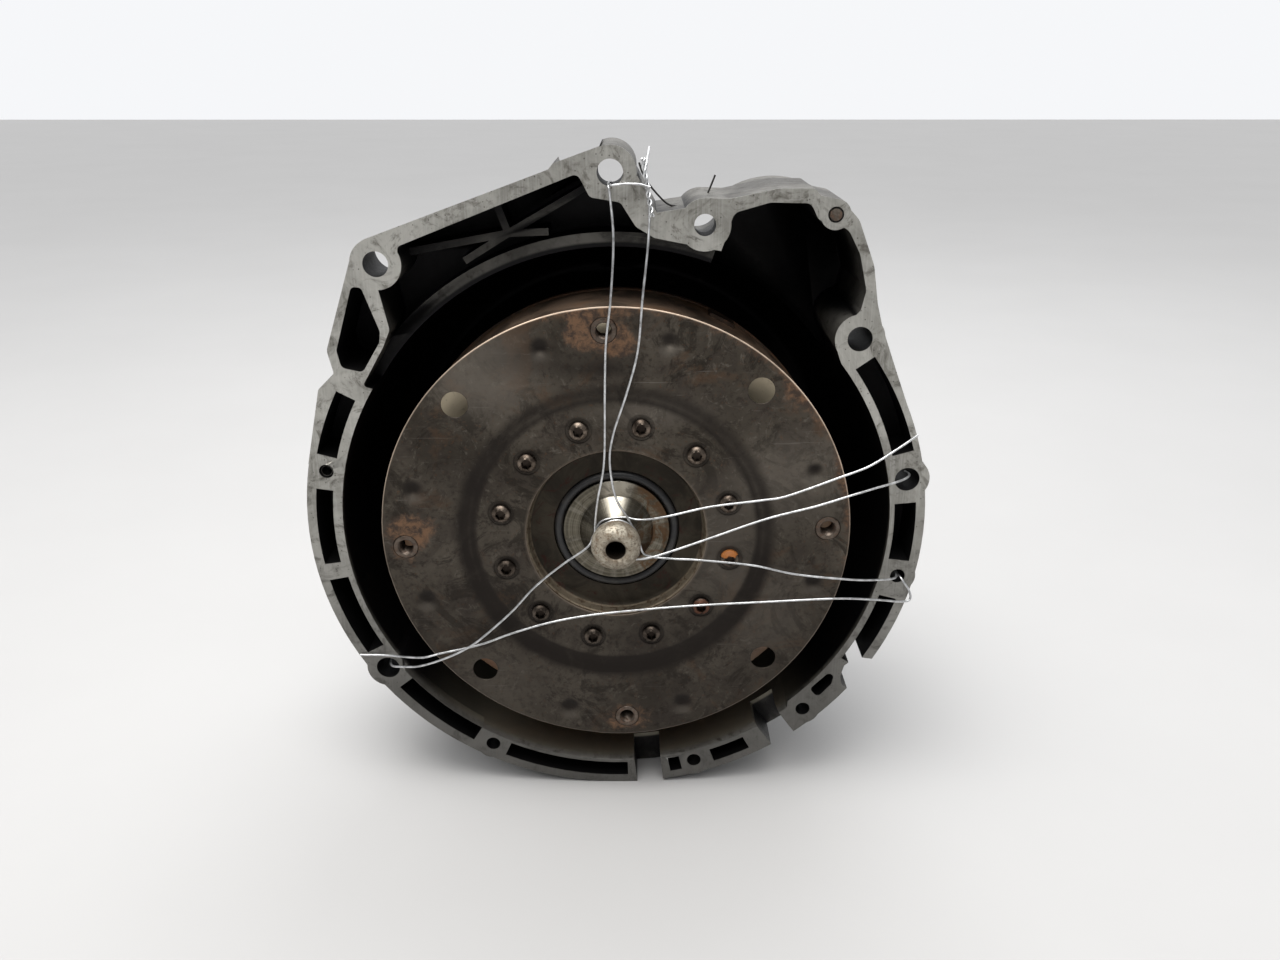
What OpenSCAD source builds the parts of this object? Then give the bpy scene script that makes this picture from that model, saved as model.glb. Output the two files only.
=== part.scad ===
// Hydraulic torque converter with lock-up clutch and torsion damper, carried in its
// gearbox bell housing with the front oil pump and the input shaft.
// The crank axis lies along Y, the engine is on the -Y side and Z points up.
// The origin is the middle of the drive plate's front face.

/* [Bell housing] */
// Radius of the round rim
rim_r = 203; // [202:0.5:205]
// Radius of the open mouth inside the rim
mouth_r = 180; // [179:0.5:181]
// Distance of the flange face behind the drive plate
face_y = 14; // [12:1:16]
// Depth of the double-walled rim
rim_depth = 42; // [38:1:46]
// Depth of the two raised lobes
lobe_depth = 58; // [54:1:60]
// Depth of the whole housing from face to gear case
bell_depth = 168; // [164:1:172]
// Radius of the circle that carries the lower bolts and both dowels
rim_bolt_r = 192; // [191:0.5:193]

/* [Drive plate] */
// Outer radius of the drive plate
plate_r = 151.5; // [150:0.5:152]
// Radius of the circle through the four drive nuts
drive_r = 137; // [136:0.5:138]
// Radius of the thread bore in a drive nut
drive_hole_r = 4.5; // [4:0.1:5]
// Turn of the whole converter from upright, counter-clockwise seen from the engine
plate_turn = 2.7; // [0:0.1:5]
// Radius of the circle through the plate screws
screw_circle_r = 76; // [75:0.5:77]
// Number of plate screws
screw_count = 12; // [12:12]

/* [Converter] */
// Outer radius of the welded shell
shell_r = 146; // [145:0.5:146]
// Position of the plane between turbine and impeller
mid_y = 84; // [84:0.5:84.5]
// Radius of the locating nose
nose_r = 16; // [15.5:0.1:16.5]
// Number of turbine blades
turbine_blade_count = 29; // [27:2:31]
// Number of impeller blades
impeller_blade_count = 31; // [29:2:33]
// Number of stator blades
stator_blade_count = 19; // [17:2:21]
// Number of damper springs
spring_count = 12; // [12:12]

/* [Pump] */
// Lobes on the inner rotor, the outer rotor has one more
rotor_lobes = 9; // [9:9]
// Radius of the circle that rolls out the rotor lobes
rolling_r = 2.15; // [2.1:0.01:2.2]
// Outer radius of the pump body
pump_r = 95; // [94:0.5:96]

/* [Hidden] */
$fn = 96;

casting = "#55524c";
steel = "#8d8a85";
pressed_steel = "#5b5048";
rusty_steel = "#6e5444";
bright_steel = "#b9b8b4";
black_rubber = "#1c1c1c";
bronze = "#a5814c";
wire_silver = "#d8dadb";

// Solid of revolution about the crank axis from [radius, y] points
module turned(profile) rotate([-90, 0, 0]) rotate_extrude() polygon(profile);
// Sheet between two y positions, its outline drawn as seen from the engine
module slab(y0, y1) translate([0, y1, 0]) rotate([90, 0, 0]) linear_extrude(y1 - y0) children();
// Round bar or bore parallel to the crank axis
module bar(at, y0, y1, r) translate([at[0], y0, at[1]]) rotate([-90, 0, 0]) cylinder(h = y1 - y0, r = r);
// Copies spaced evenly round the crank axis
module ring_of(count, start = 0) for (i = [0:count - 1]) rotate([0, -start - i * 360 / count, 0]) children();
// Plain ring about the crank axis
module ring(y0, y1, r_in, r_out) turned([[r_in, y0], [r_out, y0], [r_out, y1], [r_in, y1]]);
function polar(r, a) = [r * cos(a), r * sin(a)];

// One rounded corner at q between its neighbours p and s
function corner(p, q, s, r, n = 6) =
    r == 0 ? [q] :
    let (u = (p - q) / norm(p - q), v = (s - q) / norm(s - q), half = acos(u * v) / 2,
        c = q + (u + v) / norm(u + v) * r / sin(half),
        from = q + u * r / tan(half) - c, to = q + v * r / tan(half) - c,
        a0 = atan2(from[1], from[0]), turn = (atan2(to[1], to[0]) - a0 + 540) % 360 - 180)
    [for (i = [0:n]) c + polar(r, a0 + turn * i / n)];
// Closed outline from [x, z, corner radius] entries
function outline(pts) = let (n = len(pts)) [for (i = [0:n - 1])
    let (p = pts[(i + n - 1) % n], q = pts[i], s = pts[(i + 1) % n])
    each corner([p[0], p[1]], [q[0], q[1]], [s[0], s[1]], q[2])];
// Curved slot between two radii and two angles
function sector(r0, r1, a0, a1, n = 8) = concat(
    [for (i = [0:n]) polar(r1, a0 + (a1 - a0) * i / n)],
    [for (i = [n:-1:0]) polar(r0, a0 + (a1 - a0) * i / n)]);

// ---------- Bell housing ----------
case_bolt_r = 156.5;
pump_bolt_r = 84;
top_bolt = [-2, 227];
starter_bolt = [54, 197];
left_bolt = [-143, 174];
right_bolt = [151, 128];
pin_at = [131, 203];
small_bolt = [-187, 41];
wide_hole_r = 7.75;
starter_hole_r = 6.5;
rim_hole_r = 5;
dowel_hole_r = 8;
small_hole_r = 3.3;
lug_r = 15.5;
rim_boss_r = 12;
dowel_boss_r = 14.5;
rim_bolt_angles = [-10.5, -47, -73.5, -118];
dowel_angles = [10.5, -146.5];
barrel_edge_r = mouth_r + 9;
lobe_draft = 8;
// How thick the casting is around each of the four upper bolts
lug_depths = [24, 30, 16, lobe_depth - 2];
pocket_depth = 34;
recess_depth = 28;
starter_depth = 86;
// Rim pockets as [inner radius, outer radius, start angle, end angle]
rim_pockets = [[186, 199, 151.5, 164.5], [186, 197, 171.5, 187.5], [184, 197, 191, 208.5],
    [184, 196, 218.5, 238], [186, 197, 245.5, 272], [186, 197.5, 281, 283.5], [187, 197.5, 290.5, 298.5],
    [184.5, 196.5, -32.5, -15.5], [183, 197, -7, 5.5], [185, 199, 16, 36]];
top_left_lobe = [[-120, 60, 0], [-198, 46, 0], [-186, 96, 4], [-175, 106, 3], [-178, 121, 8],
    [-158.5, 176, 0], [-143, 174, 0], [-149, 188.5, 0], [-38, 228.5, 3], [-35, 232, 2], [-8, 241.5, 0],
    [-2, 227, 0], [14, 225, 0], [26, 203, 8], [26, 150, 0]];
starter_lobe = [[20, 150, 0], [22, 203.5, 4], [44, 207, 4], [54, 212.5, 8], [68, 212, 12], [97, 218, 14],
    [118, 218, 3], [121, 214, 2], [134, 211.5, 9], [145, 200, 12], [156, 173, 20], [160, 150, 10],
    [164, 136, 4], [175, 108, 8], [192, 66, 0], [140, 60, 0]];
top_left_opening = [[-129, 184.5, 3], [-21, 226.5, 4], [-14, 213, 4], [4, 210, 4], [13, 196, 6],
    [24, 189.5, 3], [68, 181, 0], [40, 120, 0], [-130, 90, 0], [-158, 98, 2], [-143, 123, 6],
    [-138, 134, 5], [-143, 160, 3], [-130, 168, 6]];
starter_opening = [[50, 140, 0], [66, 188, 4], [71, 204, 6], [92, 210, 10], [116, 209.5, 5],
    [121, 200, 4], [139, 194.5, 8], [147, 180, 16], [152.5, 158, 8], [150, 146, 4], [137, 130, 6],
    [138, 119, 4], [145, 101, 4], [120, 90, 0]];
corner_pocket = [[-159, 160.5, 3], [-153, 160, 3], [-144, 133, 5], [-145, 126, 4], [-157, 107, 4],
    [-170, 110, 4], [-172, 121, 4]];
notch_pocket = [[153, -105, 3], [135, -124, 3], [141, -131, 3], [150, -120, 4]];

module lugs() {
    for (at = [top_bolt, left_bolt, starter_bolt, right_bolt]) translate(at) circle(r = lug_r);
    translate(pin_at) circle(r = 9);
}
module rim_outline() {
    circle(r = rim_r);
    for (a = rim_bolt_angles) translate(polar(rim_bolt_r, a)) circle(r = rim_boss_r);
    for (a = dowel_angles) translate(polar(rim_bolt_r, a)) circle(r = dowel_boss_r);
}
module lobe_outline() {
    polygon(outline(top_left_lobe));
    polygon(outline(starter_lobe));
    lugs();
}
// Cast stiffener in the top-left pocket, from a to b
module stiffener(a, b, width) let (d = b - a, side = [-d[1], d[0]] / norm(d) * width / 2)
    polygon([a + side, b + side, b - side, a - side]);
module top_left_pocket() difference() {
    polygon(outline(top_left_opening));
    circle(r = barrel_edge_r);
    lugs();
}
// Taper on the outside of a lobe, from a to b along its edge; the lobe narrows towards the back
module drafted(a, b, start) let (d = b - a)
    translate([a[0], face_y + 2, a[1]]) rotate([-lobe_draft, -atan2(d[1], d[0]), 0])
        translate([start, 0, 0]) cube([norm(d) - start, lobe_depth + 20, 40]);
module bell_housing() color(casting) difference() {
    union() {
        slab(face_y, face_y + rim_depth) rim_outline();
        difference() {
            slab(face_y, face_y + lobe_depth) lobe_outline();
            drafted([-149, 188.5], [-38, 228.5], -30);
            drafted([-36, 231.5], [-8, 241.5], 0);
        }
        // hood over the end of the starter motor's nose
        slab(face_y + lobe_depth - 1, face_y + starter_depth + 7) intersection() {
            polygon(outline(starter_lobe));
            translate([104, 158]) circle(r = 58);
        }
        turned([[0, face_y + 20], [rim_r - 1, face_y + 20], [rim_r - 4, face_y + rim_depth],
            [mouth_r + 8, face_y + rim_depth + 14], [mouth_r + 5, face_y + 66],
            [166, face_y + bell_depth - 18], [171, face_y + bell_depth - 15],
            [171, face_y + bell_depth], [0, face_y + bell_depth]]);
        // stiffening ribs down the outside
        for (a = [22, 52, 76, 100, 124, 150, 176, 200, 231, 256, 276, 299, 326, 351]) rotate([0, -a, 0])
            translate([0, 0, -3]) linear_extrude(6) polygon([[160, face_y + 30], [rim_r - 4, face_y + 30],
                [rim_r - 6, face_y + rim_depth + 4], [171, face_y + bell_depth - 6],
                [150, face_y + bell_depth - 6]]);
    }
    // inside of the bell, the hole for the pump and the recess behind the wall
    turned([[0, face_y - 1], [mouth_r, face_y - 1], [mouth_r, face_y + 60], [173, face_y + 96],
        [162, face_y + 116], [150, face_y + 124], [0, face_y + 124]]);
    turned([[0, face_y + 100], [62, face_y + 100], [62, face_y + 134], [138, face_y + 134],
        [142, face_y + bell_depth + 1], [0, face_y + bell_depth + 1]]);
    // the barrel's front edge lies back behind the top of the flange
    slab(face_y - 1, face_y + recess_depth) difference() {
        polygon(outline(top_left_opening));
        lugs();
    }
    // top-left pocket with its stiffeners
    slab(face_y - 1, face_y + lobe_depth - 6) difference() {
        top_left_pocket();
        for (to = [left_bolt, [-75, 213], [-11, 219], [-94, 171], [-41, 189]])
            stiffener([-66, 188], to, 4.5);
    }
    slab(face_y - 1, face_y + 7) top_left_pocket();
    // starter motor pocket, open to the bell
    slab(face_y - 1, face_y + starter_depth) difference() {
        polygon(outline(starter_opening));
        lugs();
    }
    // hollows between the rim's two walls
    for (p = rim_pockets) slab(face_y - 1, face_y + pocket_depth) polygon(sector(p[0], p[1], p[2], p[3]));
    slab(face_y - 1, face_y + lobe_depth - 10) polygon(outline(corner_pocket));
    slab(face_y - 1, face_y + pocket_depth) polygon(outline(notch_pocket));
    // step in the outline beside the lowest window
    slab(face_y - 1, face_y + rim_depth + 20) polygon(outline([[166, -98, 0], [158, -105, 3], [156, -113, 3],
        [157, -121, 3], [170, -128, 0], [180, -100, 0]]));
    // two windows through the bottom of the rim
    for (w = [-83.5, -54.5]) rotate([0, -w, 0]) translate([176, face_y - 1, -9.5]) cube([34, 27, 19]);
    // bevel inside the lower half of the mouth
    intersection() {
        turned([[0, face_y - 1], [mouth_r + 5, face_y - 1], [mouth_r + 4, face_y], [mouth_r, face_y + 7],
            [0, face_y + 7]]);
        translate([-150, face_y - 2, -200]) cube([270, 12, 120]);
    }
    // bolt, dowel and pin holes
    for (at = [top_bolt, left_bolt, right_bolt]) bar(at, face_y - 1, face_y + lobe_depth + 40, wide_hole_r);
    bar(starter_bolt, face_y - 1, face_y + lobe_depth + 40, starter_hole_r);
    for (i = [0:3]) bar([top_bolt, left_bolt, starter_bolt, right_bolt][i], face_y + lug_depths[i],
        face_y + lobe_depth + 40, 14);
    for (a = rim_bolt_angles) {
        bar(polar(rim_bolt_r, a), face_y - 1, face_y + rim_depth + 20, rim_hole_r);
        bar(polar(rim_bolt_r, a), face_y + rim_depth - 6, face_y + rim_depth + 30, 10.5);
    }
    for (a = dowel_angles) bar(polar(rim_bolt_r, a), face_y - 1, face_y + rim_depth + 20, dowel_hole_r);
    bar(small_bolt, face_y - 1, face_y + rim_depth + 20, small_hole_r);
    bar(small_bolt, face_y - 1, face_y + 1.5, 4.7);
    bar(pin_at, face_y - 1, face_y + 20, 3.5);
    bar(pin_at, face_y - 1, face_y + 1, 4.7);
    // holes for the gear case bolts and for the pump bolts
    for (i = [0:11])
        bar(polar(case_bolt_r, 15 + 30 * i), face_y + bell_depth - 20, face_y + bell_depth + 1, 4.5);
    for (i = [0:7]) bar(polar(pump_bolt_r, 22.5 + 45 * i), face_y + 110, face_y + bell_depth, 4);
}
module flange_pin() color(steel) bar(pin_at, face_y - 0.6, face_y + 20, 3.5);

// ---------- Oil pump ----------
pump_y = face_y + 134;
cavity_y = pump_y + 4;
cavity_depth = 12;
rotor_gap = 0.1;
eccentric = 2 * rolling_r;
inner_pitch_r = 2 * rolling_r * rotor_lobes;
outer_pitch_r = inner_pitch_r + 2 * rolling_r;
outer_rotor_r = 54;
neck_r = 28;
neck_bore_r = 23.5;
// Rotor outline: lobes rolled outside the pitch circle and hollows rolled inside it
function rolled(pitch_r, lobes, scale, n = 12) = [for (i = [0:lobes * 2 - 1], k = [0:n - 1])
    let (a = (i + k / n) * 180 / lobes, inner = i % 2 == 1, b = a * pitch_r / rolling_r,
        centre_r = inner ? pitch_r - rolling_r : pitch_r + rolling_r)
    scale * (inner ? polar(centre_r, a) + polar(rolling_r, a - b)
        : polar(centre_r, a) - polar(rolling_r, a + b))];
module pump_body() color(casting) difference() {
    turned([[0, pump_y - 14], [44, pump_y - 14], [61.9, pump_y - 6], [61.9, pump_y], [pump_r, pump_y],
        [pump_r, cavity_y + cavity_depth], [0, cavity_y + cavity_depth]]);
    turned([[0, pump_y - 15], [40, pump_y - 15], [40, pump_y - 7], [31, pump_y - 7], [31, cavity_y + 1],
        [0, cavity_y + 1]]);
    bar([0, -eccentric], cavity_y, cavity_y + cavity_depth + 1, outer_rotor_r + rotor_gap);
    for (i = [0:7]) bar(polar(pump_bolt_r, 22.5 + 45 * i), pump_y - 1, pump_y + 20, 4.5);
    // suction and pressure ports behind the cavity floor
    for (a = [20, 200]) slab(cavity_y - 1.5, cavity_y + 1) polygon(sector(36, 46, a, a + 140));
}
module pump_seal() color(black_rubber)
    turned([[28.4, pump_y - 13], [31, pump_y - 14], [40, pump_y - 14], [40, pump_y - 7], [36, pump_y - 7],
        [36, pump_y - 11], [31, pump_y - 10.5], [28.4, pump_y - 12]]);
module pump_bushing() color(bronze) ring(pump_y - 7, cavity_y, neck_r + 0.06, 31);
module pump_cover() color(casting) difference() {
    ring(cavity_y + cavity_depth, face_y + bell_depth - 2, 21.8, pump_r);
    for (i = [0:7]) let (at = polar(pump_bolt_r, 22.5 + 45 * i)) {
        bar(at, pump_y, face_y + bell_depth, 4.5);
        bar(at, face_y + bell_depth - 10, face_y + bell_depth, 7.5);
    }
    // oil channels to the gear case
    for (a = [0:60:300]) bar(polar(56, a), cavity_y + cavity_depth + 5, face_y + bell_depth, 5);
}
module pump_bolts() color(steel) for (i = [0:7]) union() {
    bar(polar(pump_bolt_r, 22.5 + 45 * i), face_y + 126, face_y + bell_depth - 9, 3.95);
    difference() {
        bar(polar(pump_bolt_r, 22.5 + 45 * i), face_y + bell_depth - 10, face_y + bell_depth - 3, 6.5);
        slab(face_y + bell_depth - 7, face_y + bell_depth) translate(polar(pump_bolt_r, 22.5 + 45 * i))
            circle(r = 3.4, $fn = 6);
    }
}
module pump_outer_rotor() color(steel) difference() {
    bar([0, -eccentric], cavity_y + rotor_gap, cavity_y + cavity_depth - rotor_gap, outer_rotor_r);
    slab(cavity_y, cavity_y + cavity_depth) translate([0, -eccentric]) rotate(90)
        polygon(rolled(outer_pitch_r, rotor_lobes + 1, 1));
}
drive_slot = 8;
module pump_inner_rotor() color(steel) {
    difference() {
        slab(cavity_y + rotor_gap, cavity_y + cavity_depth - rotor_gap) rotate(90)
            polygon(rolled(inner_pitch_r, rotor_lobes, 0.997));
        bar([0, 0], cavity_y, cavity_y + cavity_depth, neck_r + 0.1);
    }
    // two keys that drive the rotor from the neck's slots
    for (s = [-1, 1]) intersection() {
        translate([s * 27.5 - 3.5, cavity_y + rotor_gap, -drive_slot / 2 + 0.1])
            cube([7, cavity_depth - 2 * rotor_gap, drive_slot - 0.2]);
        ring(cavity_y, cavity_y + cavity_depth, 24, 31);
    }
}

// ---------- Stator shaft and input shaft ----------
// Straight-sided spline teeth round a shaft
module spline(y0, y1, root_r, tip_r, teeth) ring_of(teeth) translate([root_r - 1, y0, -tip_r * 1.4 / teeth])
    cube([tip_r - root_r + 1, y1 - y0, tip_r * 2.8 / teeth]);
stator_y0 = mid_y - 10;
stator_y1 = mid_y + 10;
module stator_shaft() color(steel) difference() {
    union() {
        ring(stator_y0 + 1, face_y + bell_depth - 2, 17, 21.8);
        ring(face_y + bell_depth - 2, face_y + bell_depth, 17, 30);
    }
    ring(stator_y0, stator_y1, 20.6, 23);
    for (a = [0, 180]) bar(polar(19, a), face_y + bell_depth - 30, face_y + bell_depth + 1, 1.2);
}
module clutch_inner_race() color(bright_steel) ring(stator_y0 + 0.5, stator_y1 - 0.5, 20.6, 28.8);
module input_shaft() color(steel) {
    difference() {
        turned([[0, 31], [12.5, 31], [13.5, 32], [13.5, 68], [14.5, 70], [14.5, 178], [13.8, 180],
            [13.8, 190], [14.5, 191], [14.5, 216], [13, 217], [13, 229], [12, 230], [0, 230]]);
        bar([0, 0], 30, 90, 3);
    }
    spline(36, 66, 13.5, 14.6, 20);
    spline(192, 215, 14.5, 15.8, 22);
}

// ---------- Drive plate and converter cover ----------
plate_t = 3;
hub_set_back = 3;
plate_bore_r = 58.5;
access_hole_r = 8.3;
access_circle_r = 134;
dimple_angle = 17;
pad_height = 0.6;
module drive_plate() color(pressed_steel) rotate([0, -plate_turn, 0]) difference() {
    union() {
        turned([[plate_bore_r, hub_set_back + 1], [plate_bore_r + 1, hub_set_back], [95, hub_set_back],
            [101, 1.6], [105, pad_height], [plate_r - 0.6, pad_height], [plate_r, pad_height + 0.6],
            [plate_r, plate_t], [105, plate_t], [101, plate_t + 1.2], [95, hub_set_back + plate_t],
            [plate_bore_r, hub_set_back + plate_t]]);
        // raised pads that the nuts sit in
        for (i = [0:3]) intersection() {
            ring(0, 1.2, 116, plate_r - 0.6);
            rotate([0, -90 * i, 0]) translate([110, -1, -21]) cube([50, 3, 42]);
        }
    }
    for (i = [0:3]) {
        bar(polar(drive_r, 90 * i), -1, 10, 8);
        bar(polar(access_circle_r, 45 + 90 * i), -1, 10, access_hole_r);
        // pressed dimple on either side of the nut
        for (s = [-1, 1]) let (at = polar(access_circle_r, 90 * i + s * dimple_angle))
            translate([at[0], -11.6, at[1]]) sphere(r = 13.6);
    }
    for (i = [0:screw_count - 1]) let (at = polar(screw_circle_r, 15 + i * 360 / screw_count)) {
        bar(at, 0, 10, 4.4);
        bar(at, 0, hub_set_back + 0.5, 8.3);
    }
}
module drive_nuts() color(rusty_steel) rotate([0, -plate_turn, 0]) for (i = [0:3]) difference() {
    union() {
        bar(polar(drive_r, 90 * i), 0, plate_t + 1, 7.95);
        bar(polar(drive_r, 90 * i), plate_t, 13, 11);
    }
    bar(polar(drive_r, 90 * i), -1, 14, drive_hole_r);
}
module plate_screws() color(steel) rotate([0, -plate_turn, 0]) for (i = [0:screw_count - 1])
    let (at = polar(screw_circle_r, 15 + i * 360 / screw_count)) difference() {
        union() {
            bar(at, 5, 13.8, 3.95);
            bar(at, 1.4, hub_set_back + 0.5, 6.2);
            bar(at, hub_set_back, 6, 4.2);
            intersection() {
                translate([at[0], 7.3, at[1]]) sphere(r = 8.6);
                bar(at, -1.5, 1.5, 6.2);
            }
        }
        slab(-2, 2.2) translate(at) circle(r = 3.4, $fn = 6);
    }
cover_face_y = hub_set_back + plate_t;
module front_cover() color(rusty_steel) rotate([0, -plate_turn, 0]) difference() {
    turned([[34.9, 17.5], [41.4, 17.5], [41.4, 14], [55, 14], [57, 12.5], [58, cover_face_y + 1],
        [59, cover_face_y], [90, cover_face_y], [93, cover_face_y + 2], [95, 13], [98, 16], [131, 16],
        [139, 19], [144, 25], [shell_r, 33], [shell_r, mid_y - 8], [142, mid_y - 8], [142, 34],
        [139, 27], [134, 22], [131, 21],
        [96, 21], [92, 18], [64, 18], [60, 20], [57, 27], [34.9, 27]]);
    for (i = [0:screw_count - 1]) bar(polar(screw_circle_r, 15 + i * 360 / screw_count), 5, 15.5, 4);
}
module pilot_hub() color(bright_steel) difference() {
    turned([[0, -20], [9.6, -20], [11, -19], [nose_r - 0.8, -15.5], [nose_r, -14], [nose_r, -8],
        [nose_r - 1.2, -5.5], [11.5, -3], [10.6, -1], [11.5, 1], [23.5, 11], [24.5, 12], [34.8, 12],
        [34.8, 27], [14.2, 27], [14.2, 30], [0, 30]]);
    bar([0, 0], -21, 6, 6.4);
    turned([[0, -21], [8.2, -21], [6.4, -19], [0, -19]]);
}
module hub_ring() color(black_rubber)
    rotate([-90, 0, 0]) rotate_extrude() translate([38.15, 14.7]) circle(r = 2.7);

// ---------- Impeller ----------
circuit_r = 99;
// Half outline of the fluid circuit: an ellipse from the rim to the inlet
function circuit(a, b, side, from = 0, to = 157, n = 12) = [for (i = [0:n])
    let (t = from + (to - from) * i / n) [circuit_r + a * cos(t), mid_y + side * (1.5 + b * sin(t))]];
function backwards(pts) = [for (i = [len(pts) - 1:-1:0]) pts[i]];
core_a = 17;
core_b = 12;
// Blades between shell and core, each a bent strip seen along the axis
module blade_sheet(count, sweep, thick) for (i = [0:count - 1]) rotate(i * 360 / count)
    polygon(concat([for (k = [0:6]) polar(58 + 82 * k / 6, sweep * sin(30 * k)) + [0, thick / 2]],
        [for (k = [6:-1:0]) polar(58 + 82 * k / 6, sweep * sin(30 * k)) - [0, thick / 2]]));
module blade_space(side) turned(concat(circuit(39.6, 32.6, side, 4, 150),
    backwards(circuit(core_a + 1.5, core_b + 1.5, side, 0, 125))));
module impeller_shell() color(rusty_steel) difference() {
    turned(concat([[142, mid_y - 7.9], [shell_r, mid_y - 7.9], [shell_r + 1.2, mid_y - 6.5],
        [shell_r, mid_y - 5], [shell_r, mid_y + 3]], circuit(43, 36, 1, 18), [[52, 103.5], [52, 98.8]],
        backwards(circuit(40, 33, 1, 8)), [[142, mid_y]]));
}
module impeller_blades() color(pressed_steel) intersection() {
    blade_space(1);
    slab(mid_y, mid_y + 40) blade_sheet(impeller_blade_count, 4, 1);
}
module core_ring(side) turned(concat(circuit(core_a + 1.3, core_b + 1.3, side, 0, 125),
    backwards(circuit(core_a, core_b, side, 0, 125))));
module impeller_core() color(pressed_steel) core_ring(1);
module impeller_hub() color(steel) difference() {
    union() {
        ring(98.2, 106, neck_bore_r, 51.8);
        ring(106, 110, neck_bore_r, 34);
        ring(98.2, cavity_y + cavity_depth - 1, neck_bore_r, neck_r);
    }
    translate([-40, cavity_y - 1, -drive_slot / 2]) cube([80, 20, drive_slot]);
}
module balance_weights() color(steel) for (a = [62, 242]) intersection() {
    ring(56, 70, shell_r, shell_r + 2.5);
    rotate([0, -a, 0]) translate([130, 50, -9]) cube([30, 30, 18]);
}
// Needle bearing between two washers
module thrust_bearing(y0, y1, r_in, r_out, needles) {
    washer = 0.9;
    ring(y0, y0 + washer, r_in, r_out);
    ring(y1 - washer, y1, r_in, r_out);
    middle = (y0 + y1) / 2;
    ring_of(needles) translate([r_in + 1, middle, 0]) rotate([0, 90, 0])
        cylinder(h = r_out - r_in - 2, r = (y1 - y0) / 2 - washer - 0.02, $fn = 24);
}
module rear_thrust_bearing() color(bright_steel) thrust_bearing(94.4, 98, 31, 43, 20);
module front_thrust_bearing() color(bright_steel) thrust_bearing(27.2, 30.4, 14.8, 23, 14);
module middle_thrust_bearing() color(bright_steel) thrust_bearing(70.3, 73.8, 31, 43, 20);

// ---------- Turbine ----------
module turbine_shell() color(pressed_steel) difference() {
    turned(concat(circuit(41, 34, -1), [[60, 66.5], [43, 66.5], [43, 68.4], [60, 68.4]],
        backwards(circuit(39.4, 32.4, -1))));
    ring_of(12, 15) bar([51.5, 0], 60, 70, 2.5);
}
module turbine_blades() color(pressed_steel) intersection() {
    turned(concat(circuit(39.2, 32.2, -1, 4, 150),
        backwards(circuit(core_a + 1.5, core_b + 1.5, -1, 0, 125))));
    slab(mid_y - 40, mid_y) blade_sheet(turbine_blade_count, -16, 1);
}
module turbine_core() color(pressed_steel) core_ring(-1);
module turbine_hub() color(steel) difference() {
    turned([[14.7, 30.5], [23.4, 30.5], [24, 31.2], [24, 38.4], [27, 38.4], [27, 41.6], [45, 41.6],
        [45, 46], [30, 46], [29, 60], [32, 62.4], [57, 62.4], [57, 66.4], [42.8, 66.4], [42.8, 70.2],
        [14.7, 70.2]]);
    turned([[22.4, 33.4], [25, 33.4], [25, 35.8], [22.4, 35.8]]);
    ring_of(12, 15) bar([51.5, 0], 60, 70, 2.5);
    ring_of(8) bar([38.5, 0], 38, 50, 2.5);
}
module turbine_rivets() color(bright_steel) {
    ring_of(12, 15) union() {
        bar([51.5, 0], 62.3, 68.5, 2.5);
        bar([51.5, 0], 68.4, 69.8, 4);
        bar([51.5, 0], 61, 62.4, 4);
    }
    ring_of(8) union() {
        bar([38.5, 0], 38.5, 46, 2.5);
        bar([38.5, 0], 37.2, 38.5, 4);
        bar([38.5, 0], 46, 47, 3.6);
    }
}

// ---------- Torsion damper and lock-up clutch ----------
spring_r = 121;
spring_y = 40;
spring_coil_r = 6;
half_tang = 3;
module damper_driven_plate() color(pressed_steel) difference() {
    slab(38.5, 41.5) {
        difference() {
            circle(r = 114);
            circle(r = 27.1);
            for (i = [0:7]) rotate(45 * i) translate([38.5, 0]) circle(r = 2.5);
            // lightening holes
            for (i = [0:5]) rotate(60 * i + 30) translate([78, 0]) circle(r = 14);
        }
        for (i = [0:spring_count - 1]) rotate(i * 360 / spring_count)
            polygon(sector(110, 129.5, -half_tang, half_tang, 2));
    }
}
module damper_retainer() color(pressed_steel) {
    turned([[47, 46.6], [130, 46.6], [130, 31], [133, 31], [133, 48.4], [47, 48.4]]);
    for (i = [0:spring_count - 1]) {
        a = i * 360 / spring_count;
        slab(33, 37.6) polygon(sector(119, 131, a - half_tang, a + half_tang, 2));
        slab(42.4, 47) polygon(sector(115, 131, a - half_tang, a + half_tang, 2));
    }
    // pairs of lugs that take the drive from the piston's tabs
    for (i = [0:5], s = [-1, 1])
        slab(31, 41) polygon(sector(132, 138.6, 60 * i + s * 5 - 2, 60 * i + s * 5 + 2, 2));
}
module damper_springs() color(bright_steel) for (i = [0:spring_count - 1])
    rotate([0, -(i + 0.5) * 360 / spring_count, 0]) translate([spring_r, spring_y, -24]) difference() {
        cylinder(h = 48, r = spring_coil_r);
        translate([0, 0, -1]) cylinder(h = 50, r = spring_coil_r - 2.4);
    }
module lockup_piston() color(pressed_steel) {
    turned([[24.1, 31], [25.6, 31], [96, 31], [104, 26.5], [108, 24.2], [134, 24.2], [134, 29],
        [131, 29], [131, 27], [110, 27], [106, 29], [98, 33.6], [27, 33.6], [25.6, 36.6], [24.1, 36.6]]);
    for (i = [0:5]) slab(27.3, 40) polygon(sector(133.4, 137.4, 60 * i - 2.6, 60 * i + 2.6, 2));
}
module friction_lining() color("#7a6a52") difference() {
    ring(22.6, 24.2, 111, 131);
    for (i = [0:11]) rotate([0, -30 * i, 0]) translate([105, 22, -0.8]) cube([30, 1, 1.6]);
}
module piston_seal() color(black_rubber) ring(33.5, 35.7, 22.5, 24.05);

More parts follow.
